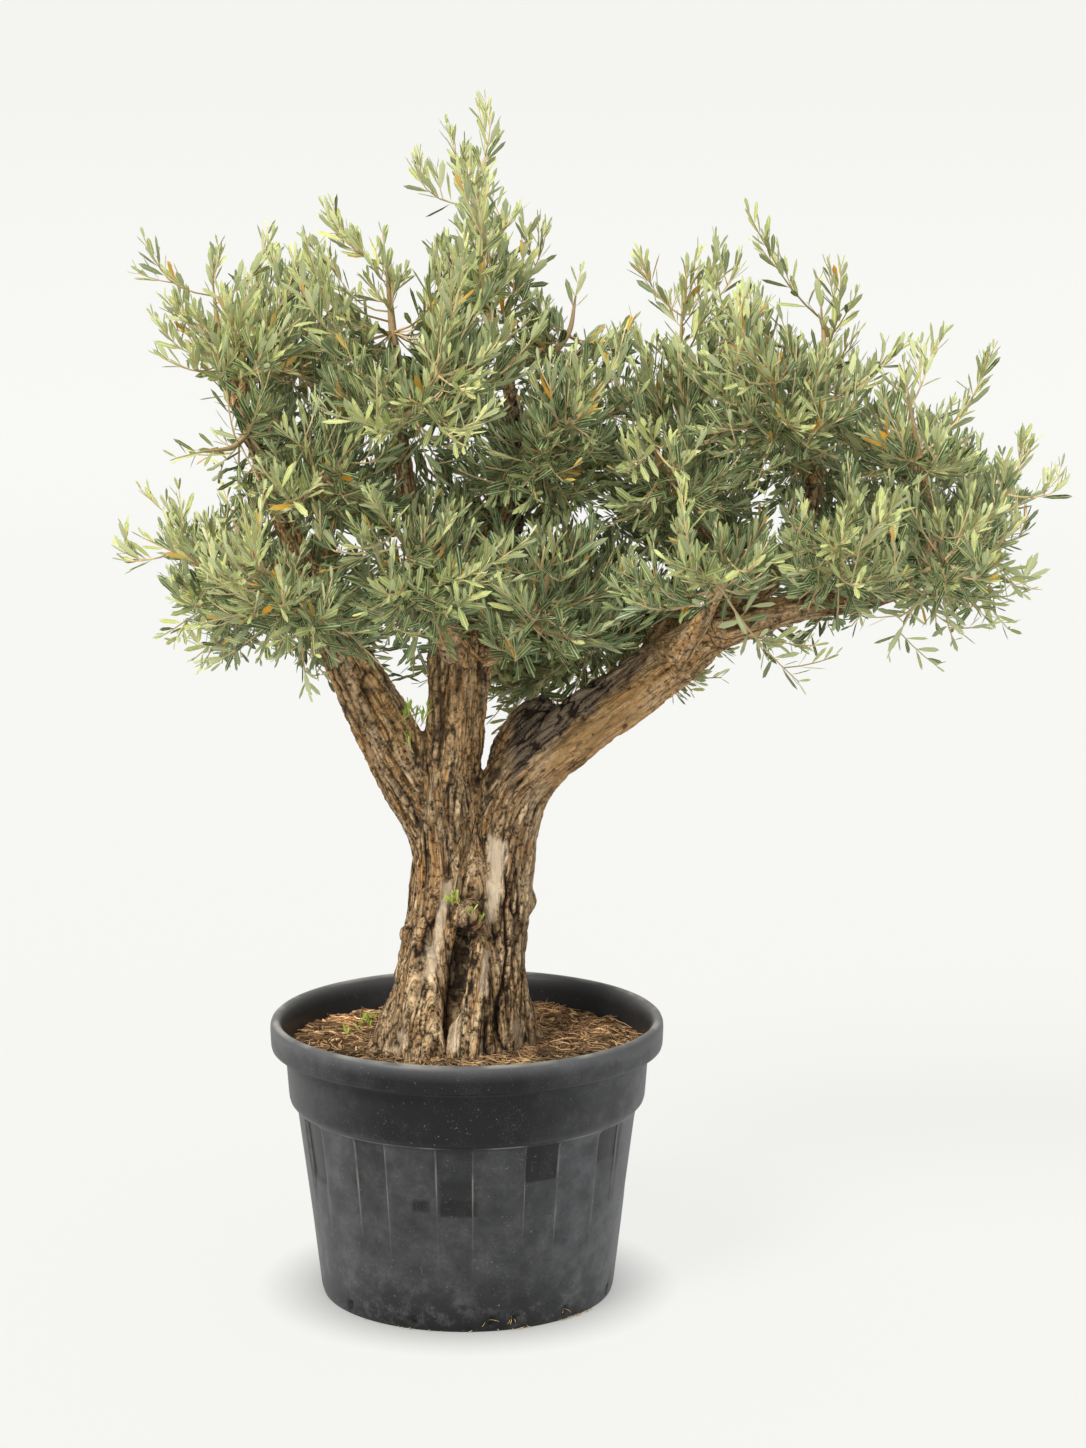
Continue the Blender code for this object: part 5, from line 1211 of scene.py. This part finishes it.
def blades(roots, ways, faces, lengths, widths, curls):
    """Olive leaves, many at once: lance-shaped blades, closed and thin, flat above and keeled along the midrib.

    A leaf has its root point, two rings of left edge, right edge and keel under the rib, and a tip. A ring
    lies its share of the length out along the leaf, is as wide as its share of the width, and stands off the
    straight line toward the upper face by the curl times the share squared.
    """
    across = np.cross(ways, faces)
    rows = [roots[:, None]]
    for share, wide in LEAF_RINGS:
        middle = roots + ways * (lengths * share)[:, None] + faces * (curls * lengths * share ** 2)[:, None]
        edge = across * (widths * wide / 2)[:, None]
        rows.append(np.stack([middle - edge, middle + edge, middle - faces * LEAF_THICK], axis=1))
    rows.append((roots + ways * lengths[:, None] + faces * (curls * lengths)[:, None])[:, None])
    start = (np.arange(len(roots)) * 8)[:, None, None]
    top = np.array([(0, 2, 1), (4, 5, 7)])
    low = np.array([(0, 3, 2), (0, 1, 3), (5, 6, 7), (6, 4, 7)])
    top4 = np.array([(1, 2, 5, 4)])
    low4 = np.array([(2, 3, 6, 5), (3, 1, 4, 6)])
    points = np.concatenate(rows, axis=1).reshape(-1, 3)
    return points, [(group + start).reshape(-1, group.shape[1]) for group in (top, low, top4, low4)]


def sprig(starts, middles, ends, sizes, first, rings, rng, leaf=LEAF_LENGTH, gap=LEAF_GAP):
    """Shoots with their leaves: twigs along quadratic curves, and pairs of leaves back from each tip.

    Pair after pair is turned a quarter round the twig. A leaf leans from the twig by 20 degrees at the tip
    and 52 at the foot, and is drawn a little toward the light. Returns twig mesh, leaf mesh and leaf values.
    """
    t = np.linspace(0, 1, rings)[None, :, None]
    paths = (1 - t) ** 2 * starts[:, None] + 2 * t * (1 - t) * middles[:, None] + t ** 2 * ends[:, None]
    lengths = np.linalg.norm(np.diff(paths, axis=1), axis=2).sum(axis=1)
    radii = sizes[:, None] + (0.0011 - sizes[:, None]) * t[..., 0]
    twigs = tubes(paths, radii, 3)
    most = int(lengths.max() / gap) + 1
    gaps = gap * rng.uniform(0.85, 1.25, len(starts))
    back = 0.003 + gaps[:, None] * (np.arange(most) - 0.45 * (1 - np.exp(-np.arange(most) / 1.5)))
    there = back < (lengths * (1 - first))[:, None]
    shoot, pair = np.nonzero(there)
    at = (1 - back[shoot, pair] / lengths[shoot])[:, None]
    place = (1 - at) ** 2 * starts[shoot] + 2 * at * (1 - at) * middles[shoot] + at ** 2 * ends[shoot]
    ahead = 2 * (1 - at) * (middles[shoot] - starts[shoot]) + 2 * at * (ends[shoot] - middles[shoot])
    ahead /= np.linalg.norm(ahead, axis=1)[:, None]
    ref = np.where(np.abs(ahead[:, 2:]) > 0.8, (1.0, 0.0, 0.0), (0.0, 0.0, 1.0))
    side = np.cross(ahead, ref)
    side /= np.linalg.norm(side, axis=1)[:, None]
    cross = np.cross(ahead, side)
    spin = rng.uniform(0, math.pi, len(starts))[shoot] + pair * math.pi / 2 + rng.normal(0, 0.15, len(shoot))
    made = []
    for half in (0.0, math.pi):
        turn = (spin + half)[:, None]
        out = np.cos(turn) * side + np.sin(turn) * cross
        age = np.clip(pair / 6.0, 0, 1)
        lean = np.radians(20 + 32 * age + rng.normal(0, 9, len(age)))[:, None]
        way = np.cos(lean) * ahead + np.sin(lean) * out + (0, 0, 0.32)
        way = way + rng.normal(0, 0.09, way.shape)
        way /= np.linalg.norm(way, axis=1)[:, None]
        face = np.sin(lean) * ahead - np.cos(lean) * out + (0, 0, 0.25)
        face -= way * (face * way).sum(axis=1)[:, None]
        face /= np.linalg.norm(face, axis=1)[:, None] + 1e-9
        roll = rng.normal(0, 0.5, len(age))[:, None]
        face = np.cos(roll) * face + np.sin(roll) * np.cross(way, face)
        long = rng.uniform(*leaf, len(age)) * (0.50 + 0.50 * np.clip(pair / 2.5, 0, 1))
        wide = long * rng.uniform(0.18, 0.26, len(age))
        keep = rng.uniform(size=len(age)) > 0.03 + 0.10 * age
        radius = (sizes[shoot] + (0.0011 - sizes[shoot]) * at[:, 0])[:, None]
        made.append([v[keep] for v in (place + out * radius * 0.6, way, face, long, wide,
                                       rng.normal(-0.02, 0.08, len(age)), age, shoot)])
    roots, ways, faces, long, wide, curls, ages, shoots = (np.concatenate(v) for v in zip(*made))
    return twigs, blades(roots, ways, faces, long, wide, curls), ages, shoots


def shoot_roots(path, ends):
    """Where on the stem each shoot begins, so that it leaves the stem at about 48 degrees, and the way there."""
    at = np.linspace(1.15, len(path) - 1.03, 28)
    i = np.minimum(at.astype(int), len(path) - 2)
    spots = path[i] + (path[i + 1] - path[i]) * (at - i)[:, None]
    runs = path[i + 1] - path[i]
    runs /= np.linalg.norm(runs, axis=1)[:, None]
    way = ends[:, None] - spots
    way /= np.linalg.norm(way, axis=2, keepdims=True)
    angle = np.degrees(np.arccos(np.clip((way * runs).sum(axis=2), -1, 1)))
    best = np.abs(angle - 48).argmin(axis=1)
    return spots[best], runs[best]


def in_mass(places, inset):
    """Whether places lie well within the outline of the mass, drawn as it looks from the front, above the hang."""
    x = (places[:, 0] - CAMERA_PLACE[0]) / (1 + places[:, 1] / -CAMERA_PLACE[1]) + CAMERA_PLACE[0]
    rise = places[:, 1] * (CAMERA_PLACE[2] - places[:, 2]) / -CAMERA_PLACE[1]
    z = places[:, 2] + rise * 0.9 + inset
    x = x + inset * np.where(x > 0.2, 0.7, -0.7)
    ring = np.array(MASS)
    nxt = np.roll(ring, -1, axis=0)
    crosses = (ring[:, 1] > z[:, None]) != (nxt[:, 1] > z[:, None])
    run = (nxt[:, 0] - ring[:, 0]) * (z[:, None] - ring[:, 1]) / (nxt[:, 1] - ring[:, 1] + 1e-12) + ring[:, 0]
    inside = (crosses & (x[:, None] < run)).sum(axis=1) % 2 == 1
    floor = np.interp(x, *np.array(HANG).T)
    return inside & ((places[:, 1] > 0.06) | (z > floor))


# The ends of the long shoots: places strewn in and round every lobe by a golden turn, kept where they lie in
# the outline and not too near one another, and given to the lobe that they lie deepest in.
strewing = np.random.default_rng(77)
centres = np.array([centre for _, _, centre, _ in CROWN])
halves = np.array([half for _, _, _, half in CROWN])
number = np.arange(ENDS_TRIED)
level = 1 - (2 * number + 1) / ENDS_TRIED
flat = np.sqrt(1 - level ** 2)
tried = []
for k in range(len(CROWN)):
    turn = number * math.pi * (3 - math.sqrt(5)) + strewing.uniform(0, 6)
    ways = np.stack([flat * np.cos(turn), flat * np.sin(turn), level], axis=1)
    tried.append(centres[k] + ways * halves[k] * strewing.uniform(*LOBE_REACH, (ENDS_TRIED, 1)))
filling = strewing.uniform((-0.52, -0.24, 0.94), (0.95, 0.30, 1.86), (6000, 3))
tried = np.concatenate([strewing.permutation(np.concatenate(tried)), filling])
tried = tried[in_mass(tried, INSET) & (np.abs(tried[:, 1]) < 0.425)]
near = np.linalg.norm(tried[:, None] - tried, axis=2) < APART
kept = []
free = np.ones(len(tried), bool)
for number in range(len(tried)):
    if free[number]:
        kept.append(number)
        free &= ~near[number]
        free[number] = False
heart = strewing.uniform((0.08, -0.12, 1.19), (0.30, 0.16, 1.34), (26, 3))
ends_all = np.concatenate([tried[kept], heart])
tip_places = np.array(TIPS + MORE_TIPS)
tip_owner = np.linalg.norm((tip_places[:, None] - centres) / halves, axis=2).argmin(axis=1)
end_owner = np.linalg.norm((ends_all[:, None] - centres) / halves, axis=2).argmin(axis=1)
# Shoot ends with others close between them and the sun: their leaves are painted darker as shade.
sun = np.array((-0.35, -0.45, 0.82))
ahead_of = ends_all[None] - ends_all[:, None]
shaded = ((ahead_of @ sun > 0.04) & (np.linalg.norm(ahead_of, axis=2) < 0.20)).sum(axis=1)
boughs = []
for k, (name, _, centre, half) in enumerate(CROWN):
    rng = np.random.default_rng(300 + k)
    path, radii = stems[k]
    centre, half = np.array(centre), np.array(half)
    tips = tip_places[tip_owner == k]
    reach = tips - np.array([unit(tip - centre) for tip in tips]).reshape(-1, 3) * 0.022
    ends = np.concatenate([ends_all[end_owner == k], reach])
    shade = np.concatenate([shaded[end_owner == k], np.zeros(len(tips))])
    roots, runs = shoot_roots(path, ends)
    length = np.linalg.norm(ends - roots, axis=1)[:, None]
    straight = (ends - roots) / length
    rise = ease(-0.35, 0.25, straight[:, 2])[:, None]
    last = straight * (1 - 0.5 * rise) + (0, 0, 1) * (0.15 + 0.75 * rise)
    last /= np.linalg.norm(last, axis=1)[:, None]
    middles = ends - last * length * 0.52 + rng.normal(size=ends.shape) * 0.07 * length
    sizes = np.clip(0.0012 + 0.0062 * length[:, 0], 0.0014, 0.0030)
    leaders = (roots, middles, ends, sizes, np.full(len(ends), 0.16), shade)
    sides = []
    for number in range(SIDE_SHOOTS):
        at = rng.uniform(0.22 + 0.22 * number, 0.42 + 0.22 * number, len(ends))[:, None]
        spot = (1 - at) ** 2 * roots + 2 * at * (1 - at) * middles + at ** 2 * ends
        run = 2 * (1 - at) * (middles - roots) + 2 * at * (ends - middles)
        run /= np.linalg.norm(run, axis=1)[:, None]
        side = np.cross(run, rng.normal(size=run.shape))
        side /= np.linalg.norm(side, axis=1)[:, None]
        spread = np.radians(rng.uniform(28, 55, len(ends)))[:, None]
        way = np.cos(spread) * run + np.sin(spread) * side + (0, 0, 0.55)
        way /= np.linalg.norm(way, axis=1)[:, None]
        size = np.clip(length * rng.uniform(0.30, 0.60, (len(ends), 1)), 0.040, 0.105)
        stop = spot + way * size
        is_tip = np.arange(len(ends)) >= len(ends) - len(tips)
        inside = in_mass(stop, 0.0) | is_tip
        middle = spot + way * size * 0.5 - (0, 0, 0.08) * size
        sides.append([v[inside] for v in (spot, middle, stop, np.full(len(ends), 0.0013),
                                          np.full(len(ends), 0.08), shade)])
    way = unit(path[-1] - path[-2])
    stem_tip = np.array([path[-2] * 0.4 + path[-1] * 0.6, path[-1], path[-1] + way * 0.050])[:, None]
    sides.append([*stem_tip, np.array([0.0022]), np.array([0.0]), np.array([0])])
    sides = [np.concatenate(v) for v in zip(*sides)]
    grown_shoots = []
    for (first, middle, last, thick, foot, dim), rings in ((leaders, 6), (sides, 4)):
        twigs, leaves, ages, shoots = sprig(first, middle, last, thick, foot, rings, rng)
        grown_shoots.append((twigs, leaves, ages, dim[shoots]))
    wood = grown(np.column_stack([path, [*radii[:-1], 0.0016]]), 0.010)
    stem = tubes(wood["middle"][None], wood["radius"][None], 8)
    boughs.append((name, stem, grown_shoots, rng))

# Olive leaves: leathery and narrow, dull grey-green above with a pale midrib and margin, felted silver
# below, the margin's paleness partly a painted highlight. Young ones at the tips are yellower, old ones darker
# and bluer, leaves deep in the crown are painted darker as shade, and a few turn orange.
upper, shader = finish("olive leaf, upper side", 0.46, 1.45)
shader.inputs["Specular IOR Level"].default_value = 0.30
tone = add(upper, "ShaderNodeAttribute", attribute_name="tone").outputs["Fac"]
turned_share = add(upper, "ShaderNodeAttribute", attribute_name="turned").outputs["Fac"]
across = add(upper, "ShaderNodeAttribute", attribute_name="across").outputs["Fac"]
place = add(upper, "ShaderNodeTexCoord").outputs["Object"]
mottle = add(upper, "ShaderNodeTexNoise", {"Vector": place, "Scale": 150.0, "Detail": 3.0})
old_young = add(upper, "ShaderNodeMix", {"Factor": tone, 6: linear("#2c4427"), 7: linear("#cacf84")}, data_type="RGBA")
mottle_share = add(upper, "ShaderNodeMapRange", {
    "Value": mottle.outputs["Fac"], "From Min": 0.35, "From Max": 0.65, "To Min": 0.0, "To Max": 0.40,
})
mottled = add(upper, "ShaderNodeMix", {
    "Factor": mottle_share.outputs[0], 6: old_young.outputs[2], 7: linear("#7f9850"),
}, data_type="RGBA")
middle_off = add(upper, "ShaderNodeMath", {0: across}, operation="ABSOLUTE")
rib = add(upper, "ShaderNodeMapRange", {
    "Value": middle_off.outputs[0], "From Min": 0.06, "From Max": 0.20, "To Min": 0.65, "To Max": 0.0,
})
# The pale margin is partly the leaf's rolled edge and partly a painted highlight along it.
margin_and_highlight = add(upper, "ShaderNodeMapRange", {
    "Value": middle_off.outputs[0], "From Min": 0.74, "From Max": 0.98, "To Min": 0.0, "To Max": 0.55,
})
pale_lines = add(upper, "ShaderNodeMath", {0: rib.outputs[0], 1: margin_and_highlight.outputs[0]}, operation="ADD")
ribbed = add(upper, "ShaderNodeMix", {
    "Factor": pale_lines.outputs[0], 6: mottled.outputs[2], 7: linear("#dcdfb2"),
}, data_type="RGBA")
yellowed = add(upper, "ShaderNodeMix", {
    "Factor": turned_share, 6: ribbed.outputs[2], 7: linear("#d59a2c"),
}, data_type="RGBA")
upper.node_tree.links.new(yellowed.outputs[2], shader.inputs["Base Color"])
vein = add(upper, "ShaderNodeBump", {"Height": mottle.outputs["Fac"], "Strength": 0.25, "Distance": 0.0008})
upper.node_tree.links.new(vein.outputs["Normal"], shader.inputs["Normal"])

lower, shader = finish("olive leaf, silver underside", 0.72, 1.45)
shader.inputs["Specular IOR Level"].default_value = 0.20
tone = add(lower, "ShaderNodeAttribute", attribute_name="tone").outputs["Fac"]
turned_share = add(lower, "ShaderNodeAttribute", attribute_name="turned").outputs["Fac"]
across = add(lower, "ShaderNodeAttribute", attribute_name="across").outputs["Fac"]
felt = add(lower, "ShaderNodeMix", {"Factor": tone, 6: linear("#6d7f58"), 7: linear("#cdd4a2")}, data_type="RGBA")
middle_off = add(lower, "ShaderNodeMath", {0: across}, operation="ABSOLUTE")
rib = add(lower, "ShaderNodeMapRange", {
    "Value": middle_off.outputs[0], "From Min": 0.05, "From Max": 0.16, "To Min": 0.6, "To Max": 0.0,
})
ribbed = add(lower, "ShaderNodeMix", {"Factor": rib.outputs[0], 6: felt.outputs[2], 7: linear("#d0d0a2")}, data_type="RGBA")
yellowed = add(lower, "ShaderNodeMix", {
    "Factor": turned_share, 6: ribbed.outputs[2], 7: linear("#d8a952"),
}, data_type="RGBA")
lower.node_tree.links.new(yellowed.outputs[2], shader.inputs["Base Color"])

# Young olive wood: thin smooth bark, straw-tan on this year's shoots and grey-brown on the stems.
young, shader = finish("young olive bark", 0.68, 1.45)
tone = add(young, "ShaderNodeAttribute", attribute_name="tone").outputs["Fac"]
place = add(young, "ShaderNodeTexCoord").outputs["Object"]
flecks = add(young, "ShaderNodeTexNoise", {"Vector": place, "Scale": 220.0, "Detail": 3.0})
wood_tone = add(young, "ShaderNodeMix", {"Factor": tone, 6: linear("#8a7252"), 7: linear("#d9c394")}, data_type="RGBA")
flecked = add(young, "ShaderNodeMix", {
    "Factor": flecks.outputs["Fac"], 6: wood_tone.outputs[2], 7: linear("#bfa67a"),
}, data_type="RGBA")
young.node_tree.links.new(flecked.outputs[2], shader.inputs["Base Color"])
fleck_bump = add(young, "ShaderNodeBump", {"Height": flecks.outputs["Fac"], "Strength": 0.3, "Distance": 0.0008})
young.node_tree.links.new(fleck_bump.outputs["Normal"], shader.inputs["Normal"])

BLADE_ACROSS = np.array([0, -1, 1, 0, -1, 1, 0, 0], float)
for name, stem, grown_shoots, rng in boughs:
    start, points, quads, caps, tones = 0, [], [], [], []
    for number, (more, more_quads, more_caps) in enumerate([stem] + [shoots[0] for shoots in grown_shoots]):
        points.append(more)
        quads.append(more_quads + start)
        caps.append(more_caps + start)
        tones.append(np.full(len(more), 0.1 if number == 0 else 0.85))
        start += len(more)
    wood_points = start
    groups, looks, leaf_tones, across, turned = [np.concatenate(quads), np.concatenate(caps)], [0, 0], [], [], []
    for _, (more, faces), ages, dim in grown_shoots:
        points.append(more)
        groups += [group + start for group in faces]
        looks += [1, 2, 1, 2]
        # Leaf tone: lighter toward the shoot's tip, random, and painted darker as shade on shoots that others hide from
        # the sun.
        tone = 0.97 - 0.45 * ages - 0.58 * np.clip(dim / 9, 0, 1.3) + rng.normal(0, 0.33, len(ages))
        leaf_tones.append(np.repeat(np.clip(tone, 0, 1), 8))
        turned.append(np.repeat((rng.uniform(size=len(ages)) < 0.016) * rng.uniform(0.5, 1.0, len(ages)), 8))
        across.append(np.tile(BLADE_ACROSS, len(ages)))
        start += len(more)
    made = put("leafy_bough_" + name, np.concatenate(points), groups, [young, upper, lower])
    look = np.repeat(looks, [len(group) for group in groups])
    made.data.polygons.foreach_set("material_index", look.astype(np.int32))
    plain = np.zeros(wood_points)
    note(made, "tone", np.concatenate(tones + leaf_tones))
    note(made, "turned", np.concatenate([plain] + turned))
    note(made, "across", np.concatenate([plain] + across))
    made.data.set_sharp_from_angle(angle=math.radians(60))
    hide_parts("bough_" + name)
    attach(made, "root")

# Suckers: young shoots straight out of the old bark, at the burl, in the left crotch, on the left foot, and a
# few seedling weeds in the mulch. Their leaves are small, soft and bright green.
SUCKERS = (
    (-0.014, -0.078, 0.664), (0.018, -0.098, 0.646), (-0.088, -0.050, 0.905), (-0.074, -0.052, 0.950),
    (-0.098, -0.048, 0.960), (-0.112, -0.030, 0.500),
)
SUCKER_SHOOTS = (3, 3, 1, 2, 1, 1)
SUCKER_REACH = (0.022, 0.018, 0.045, 0.050, 0.050, 0.018)
WEEDS = ((-0.176, 0.130), (-0.200, 0.070), (-0.150, 0.165))
sucker_leaf, shader = finish("young olive leaf, upper side", 0.40, 1.45)
place = add(sucker_leaf, "ShaderNodeTexCoord").outputs["Object"]
mottle = add(sucker_leaf, "ShaderNodeTexNoise", {"Vector": place, "Scale": 90.0, "Detail": 2.0})
greens = add(sucker_leaf, "ShaderNodeMix", {
    "Factor": mottle.outputs["Fac"], 6: linear("#76a032"), 7: linear("#bed257"),
}, data_type="RGBA")
sucker_leaf.node_tree.links.new(greens.outputs[2], shader.inputs["Base Color"])

rng = np.random.default_rng(501)
bases, reaches = [], []
for spot, count, reach in zip(SUCKERS, SUCKER_SHOOTS, SUCKER_REACH):
    bases.append(np.array([spot] * count) + rng.normal(0, 0.005, (count, 3)) * (1, 0.3, 1))
    reaches.append(np.full(count, reach))
for x, y in WEEDS:
    at = np.array([(x, y)] * 3) + rng.normal(0, 0.010, (3, 2))
    bases.append(np.column_stack([at, soil_height(at[:, 0], at[:, 1]) - 0.002]))
    reaches.append(np.full(3, 0.019))
bases, reaches = np.concatenate(bases), np.concatenate(reaches)
way = rng.normal(0, 0.45, bases.shape) + (0, -0.25, 1.0)
way /= np.linalg.norm(way, axis=1)[:, None]
size = (reaches * rng.uniform(0.7, 1.2, len(bases)))[:, None]
bowed = bases + way * size * 0.5 + rng.normal(0, 0.15, bases.shape) * size
twigs, (leaf_points, leaf_faces), ages, _ = sprig(
    bases, bowed, bases + way * size, np.full(len(bases), 0.0012), np.full(len(bases), 0.10), 5, rng, (0.017, 0.029), 0.0080
)
start = len(twigs[0])
groups = [twigs[1], twigs[2]] + [group + start for group in leaf_faces]
suckers = put("suckers_and_weeds", np.concatenate([twigs[0], leaf_points]), groups, [young, sucker_leaf])
look = np.repeat([0, 0, 1, 1, 1, 1], [len(group) for group in groups])
suckers.data.polygons.foreach_set("material_index", look.astype(np.int32))
note(suckers, "tone", np.ones(start + len(leaf_points)))
note(suckers, "turned", np.zeros(start + len(leaf_points)))
note(suckers, "across", np.concatenate([np.zeros(start), np.tile(BLADE_ACROSS, len(ages))]))
suckers.data.set_sharp_from_angle(angle=math.radians(60))
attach(suckers, "root")

# Dry roots and straw: they stick out of the drain holes in front and lie along the pot's foot.
straw_look, shader = finish("dry straw", 0.75, 1.45)
place = add(straw_look, "ShaderNodeTexCoord").outputs["Object"]
bleached = add(straw_look, "ShaderNodeTexNoise", {"Vector": place, "Scale": 60.0, "Detail": 2.0})
straws = add(straw_look, "ShaderNodeMix", {
    "Factor": bleached.outputs["Fac"], 6: linear("#8f7444"), 7: linear("#cfb67c"),
}, data_type="RGBA")
straw_look.node_tree.links.new(straws.outputs[2], shader.inputs["Base Color"])
rng = np.random.default_rng(502)
count = 46
angle = np.radians(np.concatenate([rng.choice((10.0, 18.8, 41.5), 9) + rng.normal(0, 0.8, 9),
                                   rng.uniform(-42.0, 62.0, count - 9)]))
out = np.stack([np.sin(angle), -np.cos(angle), np.zeros(count)], axis=1)
beside = np.stack([np.cos(angle), np.sin(angle), np.zeros(count)], axis=1)
from_hole = np.arange(count) < 9
start = out * np.where(from_hole, 0.237, 0.2435)[:, None]
start[:, 2] = np.where(from_hole, DRAIN_HEIGHT, 0.0018) + rng.uniform(-0.001, 0.002, count)
length = np.where(from_hole, rng.uniform(0.012, 0.022, count), rng.uniform(0.005, 0.018, count))[:, None]
lean = rng.normal(0, 0.7, count)[:, None]
end = start + out * np.where(from_hole[:, None], length * 0.45, 0.002) + beside * length * lean * 0.8
end[:, 2] = np.where(from_hole, np.abs(rng.normal(0.010, 0.006, count)) + 0.002, 0.0018)
middle = (start + end) / 2 + np.where(from_hole, 0.004, 0.0)[:, None] * (0, 0, 1) + out * 0.003
t = np.linspace(0, 1, 6)[None, :, None]
paths = (1 - t) ** 2 * start[:, None] + 2 * t * (1 - t) * middle[:, None] + t ** 2 * end[:, None]
points, quads, caps = tubes(paths, np.repeat(rng.uniform(0.0003, 0.0007, count)[:, None], 6, axis=1), 4)
dry = put("dry_straw", points, [quads, caps], [straw_look])
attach(dry, "root")

# Studio: a seamless pale paper sweep under and behind the pot that glows so evenly that the lamps hardly shade
# it, with a painted contact shadow round the pot's foot, a broad soft key light from the upper left, and a
# dimmer pale surround.
paper, shader = finish("seamless white paper", 0.95, 1.4)
place = add(paper, "ShaderNodeTexCoord").outputs["Object"]
split = add(paper, "ShaderNodeSeparateXYZ", {0: place})
lit = add(paper, "ShaderNodeMapRange", {
    "Value": split.outputs["Z"], "From Min": 0.0, "From Max": 2.5, "To Min": 0.892, "To Max": 0.874,
})
# Painted contact shadow: the paper's glow is dimmed where the pot and soil stand close, by ambient occlusion.
open_sky = add(paper, "ShaderNodeAmbientOcclusion", {"Distance": 0.115}, samples=8)
painted_contact_shadow = add(paper, "ShaderNodeMapRange", {
    "Value": open_sky.outputs["AO"], "From Min": 0.0, "From Max": 1.0, "To Min": 0.14, "To Max": 1.0,
})
glow_with_painted_shadow = add(paper, "ShaderNodeMath", {0: lit.outputs[0], 1: painted_contact_shadow.outputs[0]}, operation="MULTIPLY")
paper.node_tree.links.new(glow_with_painted_shadow.outputs[0], shader.inputs["Emission Strength"])
shader.inputs["Base Color"].default_value = linear("#4c4c4d")
shader.inputs["Emission Color"].default_value = linear("#f5f5f2")
shader.inputs["Specular IOR Level"].default_value = 0.0
quarter = np.radians(90 * np.linspace(0, 1, 24))
sweep = np.concatenate([
    np.stack([np.linspace(-13.0, 12.0, 40), np.zeros(40)], axis=1),
    np.stack([12.0 + 2.5 * np.sin(quarter), 2.5 - 2.5 * np.cos(quarter)], axis=1)[1:],
    [[14.5, 12.0]],
])
left = np.column_stack([np.full(len(sweep), -16.0), sweep[:, 0], sweep[:, 1] - 0.0002])
right = left * (-1.0, 1.0, 1.0)
row = np.arange(len(sweep) - 1)
sweep_faces = np.stack([row, row + len(sweep), row + len(sweep) + 1, row + 1], axis=1)
backdrop = put("paper_sweep", np.concatenate([left, right]), [sweep_faces], [paper])

world = bpy.data.worlds.new("studio surround")
world.use_nodes = True
surround = world.node_tree.nodes["Background"]
surround.inputs["Color"].default_value = linear("#fbfaf7")
seen = add(world, "ShaderNodeLightPath").outputs["Is Camera Ray"]
seen_bright = add(world, "ShaderNodeMapRange", {"Value": seen, "To Min": 0.42, "To Max": 0.945})
world.node_tree.links.new(seen_bright.outputs[0], surround.inputs["Strength"])
bpy.context.scene.world = world
bpy.context.scene.view_settings.view_transform = "Standard"

# Soft lights, as (name, way that it shines, spread in degrees, strength, colour)
LIGHTS = (
    ("key_light", (0.50, 0.62, -0.80), 24.0, 3.6, "#fffbf2"),
    ("top_light", (-0.25, -0.10, -1.0), 60.0, 0.7, "#ffffff"),
    ("front_fill", (-0.45, 0.85, -0.28), 70.0, 1.00, "#ffffff"),
)
for name, way, spread, strength, colour in LIGHTS:
    lamp_data = bpy.data.lights.new(name, "SUN")
    lamp_data.angle = math.radians(spread)
    lamp_data.energy = strength
    lamp_data.color = linear(colour)[:3]
    lamp = bpy.data.objects.new(name, lamp_data)
    way = -unit(np.array(way))
    lamp.location = way * 6.0
    lamp.rotation_euler = (math.acos(way[2]), 0.0, math.atan2(way[0], -way[1]))
    bpy.context.scene.collection.objects.link(lamp)
